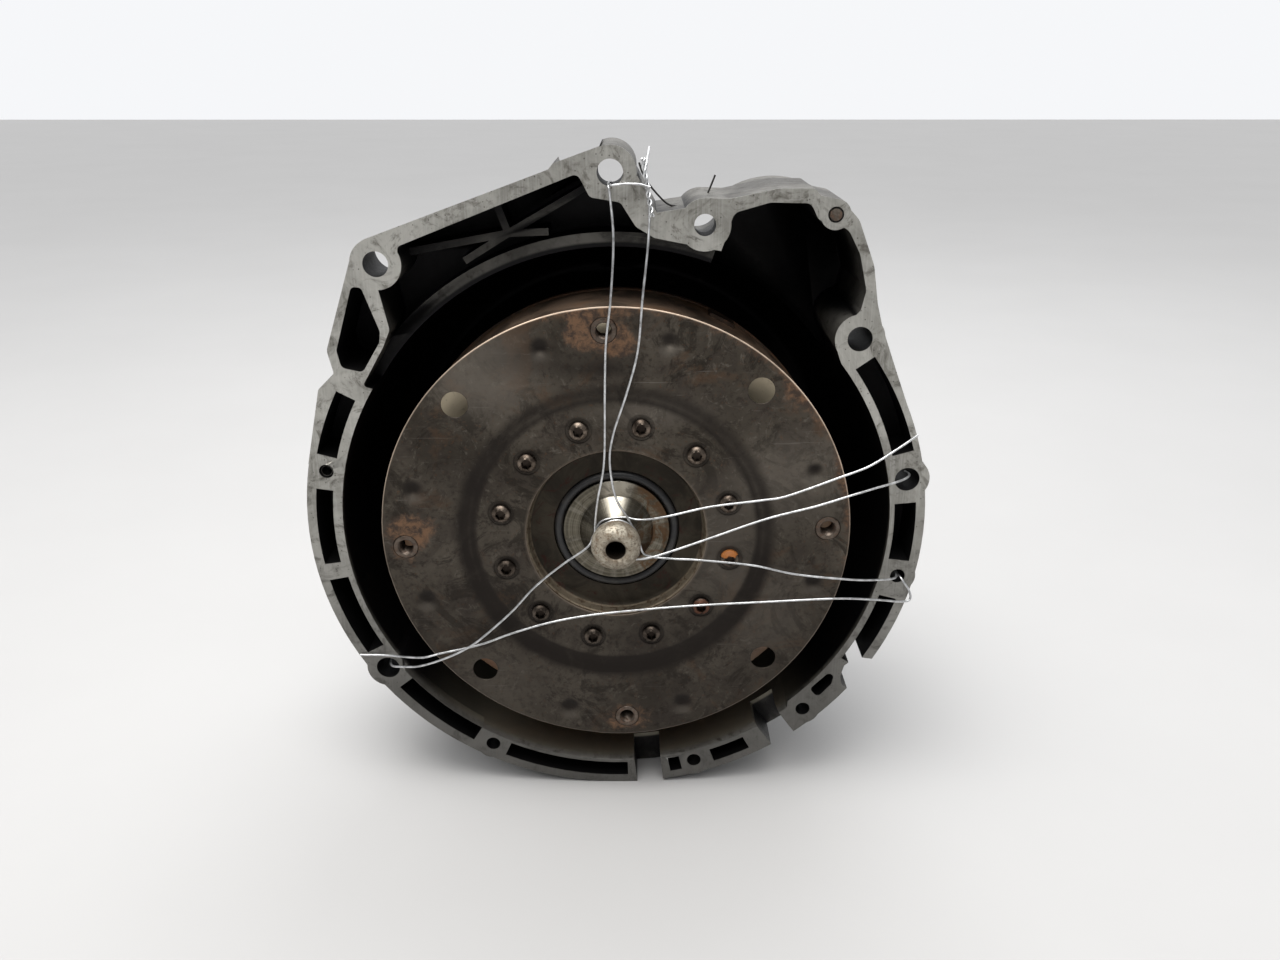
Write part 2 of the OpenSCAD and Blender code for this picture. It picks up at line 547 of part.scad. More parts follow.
// ---------- Stator and one-way clutch ----------
race_out_r = 36.1;
roller_r = 3.5;
roller_circle_r = 32.45;
module stator_wheel() color(casting) {
    ring(stator_y0 + 0.2, stator_y1 + 0.2, 43.5, 60);
    ring(stator_y0 + 3, stator_y1 - 3, 77.5, 80);
    // blades set across the flow
    intersection() {
        ring(stator_y0 + 2, stator_y1 - 2, 59, 78.5);
        ring_of(stator_blade_count) translate([57, mid_y, 0]) rotate([38, 0, 0]) translate([0, -15, -1.2])
            cube([24, 30, 2.4]);
    }
}
module clutch_outer_race() color(bright_steel) ring(stator_y0 + 0.4, stator_y1, race_out_r, 43.5);
module clutch_rollers() color(bright_steel)
    ring_of(10) bar([roller_circle_r, 0], stator_y0 + 2.5, stator_y1 - 2.5, roller_r);
module clutch_cage() color(bronze) difference() {
    ring(stator_y0 + 1, stator_y1 - 1, 30.2, 34.7);
    ring_of(10) bar([roller_circle_r, 0], stator_y0 + 2.3, stator_y1 - 2.3, roller_r + 0.12);
}

// ---------- Retaining wires ----------
wire_r = 0.75;
// Round tube with eight sides swept along hand-set points
function unit(v) = v / norm(v);
function heading(path, i) = unit(path[min(i + 1, len(path) - 1)] - path[max(i - 1, 0)]);
// A smooth path through the points: Catmull-Rom curve with n steps a span
function smooth(p, n) = [for (i = [0:len(p) - 2], k = [0:n - 1])
    let (a = p[max(i - 1, 0)], b = p[i], c = p[i + 1], d = p[min(i + 2, len(p) - 1)], t = k / n)
    (2 * b + (c - a) * t + (2 * a - 5 * b + 4 * c - d) * t * t + (3 * b - 3 * c + d - a) * t * t * t) / 2];
module wire(points, n = 2) {
    path = concat(smooth(points, n), [points[len(points) - 1]]);
    rings = [for (i = [0:len(path) - 1]) let (h = heading(path, i),
        side = unit(cross(h, abs(h[1]) < 0.9 ? [0, 1, 0] : [0, 0, 1])), up = cross(side, h))
        each [for (k = [0:7]) path[i] + wire_r * (side * cos(45 * k) + up * sin(45 * k))]];
    last = len(path) - 1;
    polyhedron(rings, concat([[for (k = [0:7]) k]], [[for (k = [7:-1:0]) last * 8 + k]],
        [for (i = [0:last - 1], k = [0:7]) let (n = (k + 1) % 8)
            [i * 8 + k, (i + 1) * 8 + k, (i + 1) * 8 + n, i * 8 + n]]));
}
// Each route lists [x, y, z] along the wire; all of them run in front of the drive plate
top_route = [[-2, 30, 220], [-3, 20, 220.5], [-3, 11, 220], [-2, 8, 214], [0, 0, 190], [-2, -4, 156],
    [-5, -4, 130], [-6, -4, 100], [-7, -4, 55], [-11.5, -4, 28], [-13.5, -2, 8], [-12.6, -1, -1],
    [-9, -1, -9], [0, -1, -12.8], [9, -1, -9], [12.8, -1, 1], [8, -2, 14], [0, -4, 30],
    [-3.5, -4, 54], [-1, -4, 73], [7, -4, 98], [14, -4, 125], [17, -3.5, 158], [20, 2, 186],
    [21, 9, 205], [20, 12, 214], [19, 17, 228], [21, 30, 240]];
right_route = [[190, 26, 36], [190, 14, 38], [183, 8, 36.5], [165, 1, 34], [150, -3, 31], [128, -4, 24],
    [96, -4, 15], [61, -4.5, 2], [32, -5.2, -8.5], [18, -5.2, -12.5], [6, -3.6, -13.2],
    [-6, -3.3, -12.8], [-14, -3.3, -3], [-11, -3.3, 8.7], [1, -3.3, 14], [11.4, -3.3, 8.2],
    [15.2, -2.8, -3], [19.5, -2.2, -11.5], [36, -3, -13.5], [53, -4, -14], [89, -4, -18],
    [117, -4, -24.5], [154, -3, -29], [177, 6.5, -34], [187, 12, -35.2], [188.5, 20, -34]];
left_route = [[190, 4, 69], [177, 3, 59.5], [160, -1, 50], [141, -3, 43], [109, -4, 31], [93, -4, 28],
    [60, -4, 23.5], [33, -4, 17], [16, -0.5, 13], [4, 0.9, 14.2], [-9.5, 0.9, 11.2], [-14.8, 0.9, 1],
    [-19, -2, -6], [-36, -4, -18], [-54, -4, -34], [-69, -5, -51], [-86, -6, -67], [-98, -6, -77],
    [-114, -5.5, -86], [-134, 0, -96], [-148, 7, -101], [-157, 12, -103], [-160, 24, -104]];
cross_route = [[-178, 12, -94.5], [-161, 11.5, -94.5], [-145, 5, -92], [-131, -2.2, -88], [-119, -2.8, -84.5],
    [-92, -3.2, -77.5], [-69, -4, -68], [-40, -4, -59], [-6, -4, -53], [45, -4, -48], [96, -4, -45],
    [144, -4, -42.5], [171, 3, -47], [190, 8.5, -51.5], [197.5, 10, -51], [197, 11, -45],
    [191.5, 14, -36.8], [190, 24, -36]];
module wire_top() color(wire_silver) wire(top_route);
module wire_right() color(wire_silver) wire(right_route);
module wire_left() color(wire_silver) wire(left_route);
module wire_cross() color(wire_silver) wire(cross_route);

bell_housing();
flange_pin();
pump_body();
pump_seal();
pump_bushing();
pump_cover();
pump_bolts();
pump_outer_rotor();
pump_inner_rotor();
stator_shaft();
clutch_inner_race();
drive_plate();
drive_nuts();
plate_screws();
front_cover();
pilot_hub();
hub_ring();
impeller_shell();
impeller_blades();
impeller_core();
impeller_hub();
balance_weights();
rear_thrust_bearing();
turbine_shell();
turbine_blades();
turbine_core();
turbine_hub();
turbine_rivets();
damper_driven_plate();
damper_retainer();
damper_springs();
lockup_piston();
friction_lining();
piston_seal();
front_thrust_bearing();
input_shaft();
stator_wheel();
clutch_outer_race();
clutch_rollers();
clutch_cage();
middle_thrust_bearing();
wire_top();
wire_right();
wire_left();
wire_cross();
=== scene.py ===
import math

import bmesh
import bpy
import numpy as np
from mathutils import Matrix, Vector


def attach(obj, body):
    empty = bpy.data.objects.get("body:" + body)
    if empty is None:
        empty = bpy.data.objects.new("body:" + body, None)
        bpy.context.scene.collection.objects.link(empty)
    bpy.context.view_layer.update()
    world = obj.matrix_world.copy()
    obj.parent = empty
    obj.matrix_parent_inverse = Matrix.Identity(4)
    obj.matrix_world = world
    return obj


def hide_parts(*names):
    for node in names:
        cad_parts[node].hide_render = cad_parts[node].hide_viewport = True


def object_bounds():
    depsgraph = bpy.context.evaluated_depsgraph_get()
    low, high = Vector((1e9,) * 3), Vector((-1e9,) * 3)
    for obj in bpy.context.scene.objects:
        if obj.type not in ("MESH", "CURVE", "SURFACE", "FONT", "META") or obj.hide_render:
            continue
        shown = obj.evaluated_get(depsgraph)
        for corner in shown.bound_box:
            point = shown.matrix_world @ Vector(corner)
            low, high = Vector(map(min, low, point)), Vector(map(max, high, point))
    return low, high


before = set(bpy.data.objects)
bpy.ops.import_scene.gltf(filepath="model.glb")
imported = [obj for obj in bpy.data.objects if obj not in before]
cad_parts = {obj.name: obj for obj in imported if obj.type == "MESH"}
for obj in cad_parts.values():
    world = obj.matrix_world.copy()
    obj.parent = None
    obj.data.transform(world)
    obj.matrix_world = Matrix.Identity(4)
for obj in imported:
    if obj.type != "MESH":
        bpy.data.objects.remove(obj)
cad_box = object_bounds()

# ---------- Camera ----------
# It stands where a person would who looks a little down into the mouth of the bell,
# 0.6 m in front of the drive plate and slightly right of the crank axis.
camera = bpy.data.objects.new("camera", bpy.data.cameras.new("camera"))
bpy.context.scene.collection.objects.link(camera)
camera.location = (0.0136, -0.6176, 0.2883)
camera.rotation_euler = (math.radians(90 - 21.87), 0, math.radians(-0.17))
camera.data.sensor_width = 36
camera.data.lens = 29.53
bpy.context.scene.camera = camera


# ---------- Bell housing ----------
# A die-cast aluminium bell that joins the engine to the gear case. Its flange face is
# milled flat and stained by oil. Its inside is painted nearly black, partly for hot oil and clutch dust and
# partly as painted shade, and its lower inside paler, partly dust and partly painted light.
class Finish:
    """A material made of nodes. Each method adds one node and gives back its output socket."""

    def __init__(self, name, metallic):
        self.made = bpy.data.materials.new(name)
        self.made.use_nodes = True
        self.tree = self.made.node_tree
        self.shader = self.tree.nodes["Principled BSDF"]
        self.set(self.shader.inputs["Metallic"], metallic)
        self.place = self.add("ShaderNodeTexCoord").outputs["Object"]
        self.x, self.y, self.z = self.put("ShaderNodeSeparateXYZ", Vector=self.place).outputs

    def set(self, socket, value):
        if isinstance(value, bpy.types.NodeSocket):
            self.tree.links.new(value, socket)
        elif isinstance(value, tuple) and len(value) == 3 and socket.type == "RGBA":
            socket.default_value = (*value, 1)
        else:
            socket.default_value = value

    def add(self, kind, **settings):
        node = self.tree.nodes.new(kind)
        for key, value in settings.items():
            setattr(node, key, value)
        return node

    def put(self, kind, settings=None, **inputs):
        node = self.add(kind, **(settings or {}))
        for key, value in inputs.items():
            self.set(node.inputs[key.replace("_", " ")], value)
        return node

    def calc(self, operation, a, b=0.0, clamp=False):
        node = self.add("ShaderNodeMath", operation=operation, use_clamp=clamp)
        self.set(node.inputs[0], a)
        self.set(node.inputs[1], b)
        return node.outputs[0]

    def times(self, a, b, clamp=False):
        return self.calc("MULTIPLY", a, b, clamp)

    def plus(self, a, b):
        return self.calc("ADD", a, b)

    def across(self):
        """Distance from the crank axis: the square root of x squared plus z squared."""
        return self.calc("SQRT", self.plus(self.times(self.x, self.x), self.times(self.z, self.z)))

    def rise(self, value, low, high):
        """0 below low and 1 above high with a soft S between; the other way round if low > high."""
        node = self.add("ShaderNodeMapRange", interpolation_type="SMOOTHSTEP")
        ends = (low, high, 0.0, 1.0) if low < high else (high, low, 1.0, 0.0)
        self.set(node.inputs["Value"], value)
        for key, end in zip(("From Min", "From Max", "To Min", "To Max"), ends):
            node.inputs[key].default_value = end
        return node.outputs["Result"]

    def span(self, value, low, high):
        """A value from 0 to 1 carried over to low to high."""
        node = self.add("ShaderNodeMapRange")
        self.set(node.inputs["Value"], value)
        node.inputs["To Min"].default_value = low
        node.inputs["To Max"].default_value = high
        return node.outputs["Result"]

    def noise(self, scale, detail=5.0, rough=0.6, bend=0.0, place=None, shift=0.0):
        """Cloudy noise from 0 to 1, with scale patches to the metre."""
        if shift:
            place = self.put("ShaderNodeMapping", Vector=place or self.place,
                             Location=(shift, shift * 0.7, -shift)).outputs[0]
        return self.put("ShaderNodeTexNoise", Vector=place or self.place, Scale=scale, Detail=detail,
                        Roughness=rough, Distortion=bend).outputs["Fac"]

    def streaks(self, scale, stretch, turn=(0, 0, 0), detail=3.0):
        """Noise drawn out along one direction, for grinding and milling marks."""
        place = self.put("ShaderNodeMapping", Vector=self.place, Rotation=turn,
                         Scale=stretch).outputs[0]
        return self.noise(scale, detail, 0.6, 0.0, place)

    def rings(self, scale, detail=2.0):
        """Noise that changes only with radius and depth, for marks left by a lathe tool."""
        place = self.put("ShaderNodeCombineXYZ", X=self.across(), Y=self.y, Z=0.0).outputs[0]
        return self.noise(scale, detail, 0.7, 0.0, place)

    def spots(self, scale, spread=1.0):
        """Distance to the nearest scattered point, 0 at a point."""
        return self.put("ShaderNodeTexVoronoi", Vector=self.place, Scale=scale,
                        Randomness=spread).outputs["Distance"]

    def mix(self, amount, a, b, how="MIX"):
        node = self.add("ShaderNodeMix", data_type="RGBA", blend_type=how)
        self.set(node.inputs["Factor"], amount)
        self.set(node.inputs[6], a)
        self.set(node.inputs[7], b)
        return node.outputs[2]

    def layer(self, name):
        """A value painted on the mesh's points."""
        return self.add("ShaderNodeAttribute", attribute_name=name).outputs["Fac"]

    def done(self, colour, rough, relief=None, depth=0.0001, metallic=None):
        """Ends the material. relief is a height from 0 to 1 and depth its real height in metres."""
        self.set(self.shader.inputs["Base Color"], colour)
        self.set(self.shader.inputs["Roughness"], rough)
        if metallic is not None:
            self.set(self.shader.inputs["Metallic"], metallic)
        if relief is not None:
            bump = self.put("ShaderNodeBump", Height=relief, Distance=depth, Strength=1.0)
            self.set(self.shader.inputs["Normal"], bump.outputs[0])
        return self.made


def fit(piece, body, slot, finish, *stands_for):
    """The piece takes its finish, moves with its body and stands for the named nodes."""
    piece.data.materials.clear()
    piece.data.materials.append(finish)
    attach(piece, body)
    if stands_for:
        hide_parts(*stands_for)
    return piece


def dress(finish, *nodes):
    """The nodes keep their shape and take the finish."""
    for node in nodes:
        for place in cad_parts[node].material_slots:
            place.material = finish


def merged_copy(node, name):
    """The node's surface as one closed mesh with large flat faces, so that its edges can be rounded."""
    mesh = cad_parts[node].data.copy()
    mesh.name = name
    work = bmesh.new()
    work.from_mesh(mesh)
    bmesh.ops.remove_doubles(work, verts=work.verts, dist=0.00018)
    bmesh.ops.dissolve_limit(work, angle_limit=math.radians(0.5), verts=work.verts, edges=work.edges)
    work.to_mesh(mesh)
    work.free()
    piece = bpy.data.objects.new(name, mesh)
    bpy.context.scene.collection.objects.link(piece)
    return piece


FACE_Y = 0.014
MOUTH_R = 0.180


def cast_finish(name, milled_at=None, inside_r=0.0):
    """Cast aluminium: sandy skin, painted shade with grime in the hollows, milled where y is at milled_at."""
    f = Finish(name, 0.75)
    cloud, fine = f.noise(22, 6, 0.62, 0.6), f.noise(140, 5, 0.65, 0.2, shift=0.31)
    skin = f.mix(f.rise(cloud, 0.36, 0.66), (0.075, 0.071, 0.064), (0.165, 0.158, 0.142))
    skin = f.mix(f.rise(fine, 0.5, 0.75), skin, (0.045, 0.040, 0.034))
    # ambient occlusion darkens the hollows and pockets: painted shade, with cloudy grime at its edge
    shelter = f.put("ShaderNodeAmbientOcclusion", {"samples": 8, "only_local": True}, Distance=0.08)
    shade_and_grime = f.rise(f.plus(shelter.outputs["AO"], f.times(cloud, 0.3)), 1.02, 0.72)
    colour = f.mix(shade_and_grime, skin, (0.0085, 0.0080, 0.0085))
    rough = f.span(fine, 0.42, 0.66)
    sand = f.noise(1500, 3, 0.6)
    relief = f.times(sand, 0.8)
    if inside_r:
        # the bell narrows towards the back, by 0.226 m in each metre behind y = 0.080
        behind = f.calc("MAXIMUM", f.calc("SUBTRACT", f.y, 0.080), 0.0)
        widest = f.plus(f.across(), f.times(behind, 0.226))
        # inside the bell: painted near black, part oil stain and part painted shade
        inside_oil_and_shade = f.times(f.rise(widest, inside_r + 0.0038, inside_r + 0.0018),
                      f.times(f.rise(f.y, FACE_Y + 0.0012, FACE_Y + 0.006), f.rise(f.y, 0.146, 0.142)))
        smear = f.rise(f.noise(35, 6, 0.7, 1.2, shift=1.7), 0.62, 0.78)
        inside_tone = f.mix(smear, (0.0075, 0.0068, 0.0075), (0.050, 0.044, 0.036))
        # the lower inside painted paler: part dust, part painted light from above
        dust_and_painted_light = f.times(f.rise(f.z, -0.11, -0.165), f.span(cloud, 0.5, 1.1))
        inside_tone = f.mix(dust_and_painted_light, inside_tone, (0.26, 0.24, 0.19))
        colour = f.mix(inside_oil_and_shade, colour, inside_tone)
        rough = f.times(rough, f.span(inside_oil_and_shade, 1.0, 0.72))
    if milled_at is not None:
        milled = f.rise(f.y, milled_at + 0.0007, milled_at + 0.0003)
        lines = f.streaks(900, (1, 1, 0.02), (0, 0.6, 0))
        cross = f.streaks(420, (0.03, 1, 1), (0, -0.35, 0))
        bright = f.mix(f.rise(f.noise(16, 6, 0.7, 0.9, shift=2.3), 0.35, 0.65), (0.300, 0.292, 0.265),
                       (0.520, 0.510, 0.470))
        bright = f.mix(f.times(f.rise(lines, 0.45, 0.7), 0.35), bright, (0.60, 0.59, 0.56))
        stain = f.rise(f.noise(60, 7, 0.72, 1.5, shift=0.9), 0.50, 0.68)
        bright = f.mix(f.times(stain, 0.75), bright, (0.105, 0.095, 0.078))
        specks = f.rise(f.spots(260), 0.16, 0.05)
        bright = f.mix(f.times(specks, 0.8), bright, (0.05, 0.045, 0.04))
        low = f.rise(f.z, 0.10, -0.16)
        bright = f.mix(f.times(low, 0.85), bright, (0.070, 0.067, 0.063))
        colour = f.mix(milled, colour, bright)
        rough = f.mix(milled, rough,
                      f.span(f.plus(f.times(stain, 0.5), f.times(cross, 0.5)), 0.34, 0.62))
        relief = f.mix(milled, relief, f.times(f.plus(lines, cross), 0.18))
    return f.done(colour, rough, relief, 0.00022)


bell = merged_copy("bell_housing", "bell_casting")
edges = bell.modifiers.new("rounded edges", "BEVEL")
edges.limit_method = "ANGLE"
edges.angle_limit = math.radians(32)
edges.width = 0.00045
edges.segments = 2
edges.use_clamp_overlap = True
bell.data.shade_flat()
bell.data.polygons.foreach_set("use_smooth", np.ones(len(bell.data.polygons), bool))
bell.data.set_sharp_from_angle(angle=math.radians(28))
fit(bell, "housing", "cast_aluminium", cast_finish("stained cast aluminium", FACE_Y, MOUTH_R),
    "bell_housing")


# ---------- Flange pin ----------
# A short hardened pin pressed into the flange beside the starter pocket. It locates the
# engine's rear cover, and its end has browned.
def steel_finish(name, light, dark, rust=(0.16, 0.075, 0.035), rusted=0.3, rough=(0.28, 0.5), size=1.0,
                 turned_marks=0.0, metallic=0.9, oil=0.35):
    """Bare steel: light and dark clouds, brown rust in patches, oil stains and tool marks."""
    f = Finish(name, metallic)
    cloud, fine = f.noise(28 * size, 6, 0.65, 0.8), f.noise(210 * size, 5, 0.7, 0.3, shift=0.53)
    colour = f.mix(f.rise(cloud, 0.35, 0.65), dark, light)
    colour = f.mix(f.times(f.rise(fine, 0.45, 0.75), 0.5), colour, dark)
    stain = f.rise(f.noise(55 * size, 6, 0.7, 1.6, shift=1.1), 0.52, 0.66)
    colour = f.mix(f.times(stain, oil), colour, tuple(c * 0.35 for c in dark))
    edge = 0.74 - 0.34 * rusted
    corroded = f.rise(f.plus(f.times(f.noise(42 * size, 7, 0.72, 1.0, shift=2.9), 0.75),
                             f.times(fine, 0.25)), edge - 0.05, edge + 0.06)
    tint = f.mix(f.noise(300 * size, 4, 0.6, 0.0, shift=3.1), rust, tuple(c * 0.45 for c in rust))
    colour = f.mix(corroded, colour, tint)
    marks = f.rings(1900) if turned_marks else f.noise(900 * size, 3, 0.6)
    colour = f.mix(f.times(marks, 0.22), colour, tuple(min(1, c * 1.5) for c in light))
    grain = f.plus(f.times(marks, 0.5 + turned_marks), f.times(corroded, fine))
    shine = f.mix(corroded, f.span(f.plus(f.times(cloud, 0.6), f.times(marks, 0.4)),
                                   *rough), (0.75, 0.75, 0.75))
    return f.done(colour, shine, grain, 0.00006, f.span(corroded, metallic, 0.15))


dress(steel_finish("browned pin steel", (0.20, 0.17, 0.14), (0.07, 0.055, 0.045), rusted=0.6, size=4),
      "flange_pin")

# ---------- Oil pump ----------
# A gear pump with one lobe ring inside another, in a cast body with a ground cover, bolted
# behind the bell's wall. The seal and the bronze bush run on the converter's neck.
dress(cast_finish("pump casting"), "pump_body", "pump_cover")
dress(steel_finish("ground rotor steel", (0.42, 0.41, 0.39), (0.26, 0.25, 0.23), rusted=0.02,
                   rough=(0.18, 0.34),
                   turned_marks=0.1, oil=0.2), "pump_outer_rotor", "pump_inner_rotor")
dress(steel_finish("oiled bolt steel", (0.16, 0.15, 0.14), (0.06, 0.055, 0.05), rusted=0.15,
                   rough=(0.3, 0.5),
                   size=3), "pump_bolts")


def rubber_finish(name, colour=(0.012, 0.012, 0.013), dust=0.25):
    """Black rubber, slightly shiny, with pale dust in its fine grain."""
    f = Finish(name, 0.0)
    cloud, grain = f.noise(60, 5, 0.6, 0.5), f.noise(1800, 3, 0.6)
    dust_and_painted_light = f.times(f.rise(f.plus(f.times(cloud, 0.7), f.times(grain, 0.3)),
                                      0.46, 0.72), dust)
    tone = f.mix(dust_and_painted_light, colour, (0.11, 0.095, 0.075))
    return f.done(tone, f.span(cloud, 0.32, 0.58), grain, 0.00004)


dress(rubber_finish("black seal rubber"), "pump_seal", "piston_seal")


def bronze_finish(name):
    """Bearing bronze: yellow brown with darker heat clouds and fine turning marks."""
    f = Finish(name, 1.0)
    cloud, marks = f.noise(45, 5, 0.6, 0.7), f.rings(1600)
    tone = f.mix(f.rise(cloud, 0.35, 0.65), (0.33, 0.20, 0.085), (0.56, 0.38, 0.17))
    return f.done(f.mix(f.times(marks, 0.25), tone, (0.70, 0.52, 0.28)),
                  f.span(cloud, 0.25, 0.45), marks, 0.00003)


dress(bronze_finish("bearing bronze"), "pump_bushing", "clutch_cage")

# ---------- Stator shaft and one-way clutch's inner race ----------
# A ground steel tube bolted to the pump's cover. It carries the inner race on its front end.
dress(steel_finish("ground shaft steel", (0.40, 0.39, 0.37), (0.24, 0.23, 0.21), rusted=0.05,
                   rough=(0.2, 0.36),
                   turned_marks=0.25), "stator_shaft", "impeller_hub", "turbine_hub")
dress(steel_finish("polished bearing steel", (0.62, 0.61, 0.59), (0.45, 0.44, 0.42), rusted=0.0,
                   rough=(0.12, 0.24), turned_marks=0.1, oil=0.1),
      "clutch_inner_race", "clutch_outer_race", "clutch_rollers", "rear_thrust_bearing",
      "front_thrust_bearing", "middle_thrust_bearing")

# ---------- Drive plate ----------
# A disc pressed from 3 mm sheet steel with an annular step, four raised pads for the nuts
# and a dimple on either side of each. It has browned from heat, with rust round the nuts.
MM = 0.001
PLATE_TURN = math.radians(2.7)
BORE_R, PLATE_R, SHEET = 58.5, 151.5, 2.4
NUT_R, ACCESS_R, SCREW_R = 137.0, 134.0, 76.0


def smooth(t):
    """The S curve 3 t squared minus 2 t cubed between 0 and 1."""
    t = np.clip(t, 0, 1)
    return t * t * (3 - 2 * t)


def seats(radius, start, count):
    """Places spaced evenly on a circle, as x and z in millimetres before the plate is turned."""
    a = np.radians(start + np.arange(count) * 360 / count)
    return np.stack([radius * np.cos(a), radius * np.sin(a)], 1)


NUTS, ACCESS, SCREWS = seats(NUT_R, 0, 4), seats(ACCESS_R, 45, 4), seats(SCREW_R, 15, 12)
DIMPLES = np.concatenate([seats(ACCESS_R, -17, 4), seats(ACCESS_R, 17, 4)])


def plate_depth(x, z):
    """How far the front lies behind the pads: the annular step, the raised pads and the dimples."""
    r = np.hypot(x, z)
    y = 0.6 + 2.4 * (1 - smooth((r - 93.5) / 12.5)) + 0.35 * np.exp(-((r - 92) / 3.0) ** 2)
    y -= 0.25 * np.exp(-((r - 109) / 4.0) ** 2)
    for a in np.arange(4) * np.pi / 2:
        along, side = x * np.cos(a) + z * np.sin(a), np.abs(-x * np.sin(a) + z * np.cos(a))
        out = np.hypot(np.maximum(122 - along, 0), np.maximum(side - 14.5, 0))
        y -= 0.6 * (1 - smooth((out - 5.0) / 3.2))
    for px, pz in DIMPLES:
        d = np.hypot(x - px, z - pz)
        y += 2.3 * np.exp(-(d / 4.4) ** 2) - 0.45 * np.exp(-((d - 8.5) / 3.0) ** 2)
    return y + 0.8 * smooth((r - 150.5) / 1.3) + 0.6 * smooth((59.6 - r) / 1.1)


def turn_plate(x, z):
    """The plate's own x and z turned to where the plate stands."""
    c, s = math.cos(PLATE_TURN), math.sin(PLATE_TURN)
    return x * c - z * s, x * s + z * c


def pressed_sheet():
    """A grid of radius by angle, with every hole's rim drawn on to its circle and a collar of rings in it."""
    radii = np.concatenate([[BORE_R, 58.9, 59.4], np.linspace(60.6, 149.8, 62),
                            [150.5, 151.0, 151.3, PLATE_R]])
    around = 600
    a = np.arange(around) * 2 * np.pi / around
    x, z = (radii[:, None] * np.cos(a)).ravel(), (radii[:, None] * np.sin(a)).ravel()
    i, j = np.meshgrid(np.arange(len(radii) - 1), np.arange(around), indexing="ij")
    k = (j + 1) % around
    quads = np.stack([i * around + j, (i + 1) * around + j, (i + 1) * around + k, i * around + k], -1)
    quads = quads.reshape(-1, 4)
    points, faces, extra = [], [], len(x)
    collars = []
    # each hole: its places, the reach of its collar, and the collar's rings as (radius, drop)
    cuts = [(p, 10.6, ((9.4, 0), (8.75, 0.02), (8.45, 0.12), (8.3, 0.5), (7.0, 0.55), (5.5, 0.55),
                       (4.4, 0.55)))
            for p in SCREWS]
    cuts += [(p, 12.6, ((10.4, 0), (9.0, 0), (8.55, 0.06), (8.25, 0.25), (8.1, 0.6))) for p in NUTS]
    cuts += [(p, 11.6, ((10.0, 0), (9.2, 0), (8.75, 0.05), (8.45, 0.2), (8.3, 0.5))) for p in ACCESS]
    for (cx, cz), reach, rings in cuts:
        d = np.hypot(x - cx, z - cz)
        inner = (d < reach)[quads]
        quads = quads[~inner.all(1)]
        rim = np.unique(quads[(d < reach)[quads]])
        scale = reach / d[rim]
        x[rim], z[rim] = cx + (x[rim] - cx) * scale, cz + (z[rim] - cz) * scale
        rim = rim[np.argsort(np.arctan2(z[rim] - cz, x[rim] - cx))]
        collars.append((cx, cz, rim, rings))
    y = plate_depth(x, z)
    for cx, cz, rim, rings in collars:
        way = np.stack([x[rim] - cx, z[rim] - cz], 1)
        way /= np.linalg.norm(way, axis=1)[:, None]
        last, n = rim, len(rim)
        for radius, drop in rings:
            px, pz = cx + way[:, 0] * radius, cz + way[:, 1] * radius
            points.append(np.stack([px, plate_depth(px, pz) + drop, pz], 1))
            now = extra + np.arange(n)
            extra += n
            faces.append(np.stack([last, np.roll(last, -1), np.roll(now, -1), now], 1))
            last = now
    points = np.concatenate([np.stack([x, y, z], 1)] + points)
    return points, np.concatenate([quads] + faces)


def add_piece(name, points, faces, sharp=30.0):
    """A mesh from points in metres and faces, with unused points dropped and faces turned outward."""
    used = np.unique(np.asarray(faces).ravel())
    renumber = np.zeros(len(points), int)
    renumber[used] = np.arange(len(used))
    mesh = bpy.data.meshes.new(name)
    mesh.from_pydata(np.asarray(points)[used].tolist(), [], renumber[np.asarray(faces)].tolist())
    work = bmesh.new()
    work.from_mesh(mesh)
    bmesh.ops.remove_doubles(work, verts=work.verts, dist=1e-7)
    bmesh.ops.recalc_face_normals(work, faces=work.faces)
    work.to_mesh(mesh)
    work.free()
    mesh.polygons.foreach_set("use_smooth", np.ones(len(mesh.polygons), bool))
    mesh.set_sharp_from_angle(angle=math.radians(sharp))
    piece = bpy.data.objects.new(name, mesh)
    bpy.context.scene.collection.objects.link(piece)
    return piece


points, faces = pressed_sheet()
points[:, 0], points[:, 2] = turn_plate(points[:, 0], points[:, 2])
plate = add_piece("pressed_drive_plate", points * MM, faces, 40)
front = np.zeros(len(plate.data.polygons) * 3, np.float32)
plate.data.polygons.foreach_get("normal", front)
if front[1::3].mean() > 0:
    plate.data.flip_normals()
wall = plate.modifiers.new("sheet thickness", "SOLIDIFY")
wall.thickness = SHEET * MM
wall.offset = -1


def paint(piece, name, value):
    """Puts a value on each of the piece's points, for its material to read."""
    layer = piece.data.attributes.new(name, "FLOAT", "POINT")
    layer.data.foreach_set("value", np.clip(value, 0, 1).astype(np.float32))


def places(piece):
    """The piece's points in millimetres."""
    co = np.zeros(len(piece.data.vertices) * 3, np.float32)
    piece.data.vertices.foreach_get("co", co)
    return co.reshape(-1, 3).astype(float) / MM


def patch(at, x, z, wide, high, lean=0.0):
    """A soft oval spot, 1 in its middle."""
    dx, dz = at[:, 0] - x, at[:, 2] - z
    c, s = math.cos(lean), math.sin(lean)
    return np.exp(-(((dx * c + dz * s) / wide) ** 2 + ((-dx * s + dz * c) / high) ** 2) ** 1.5)


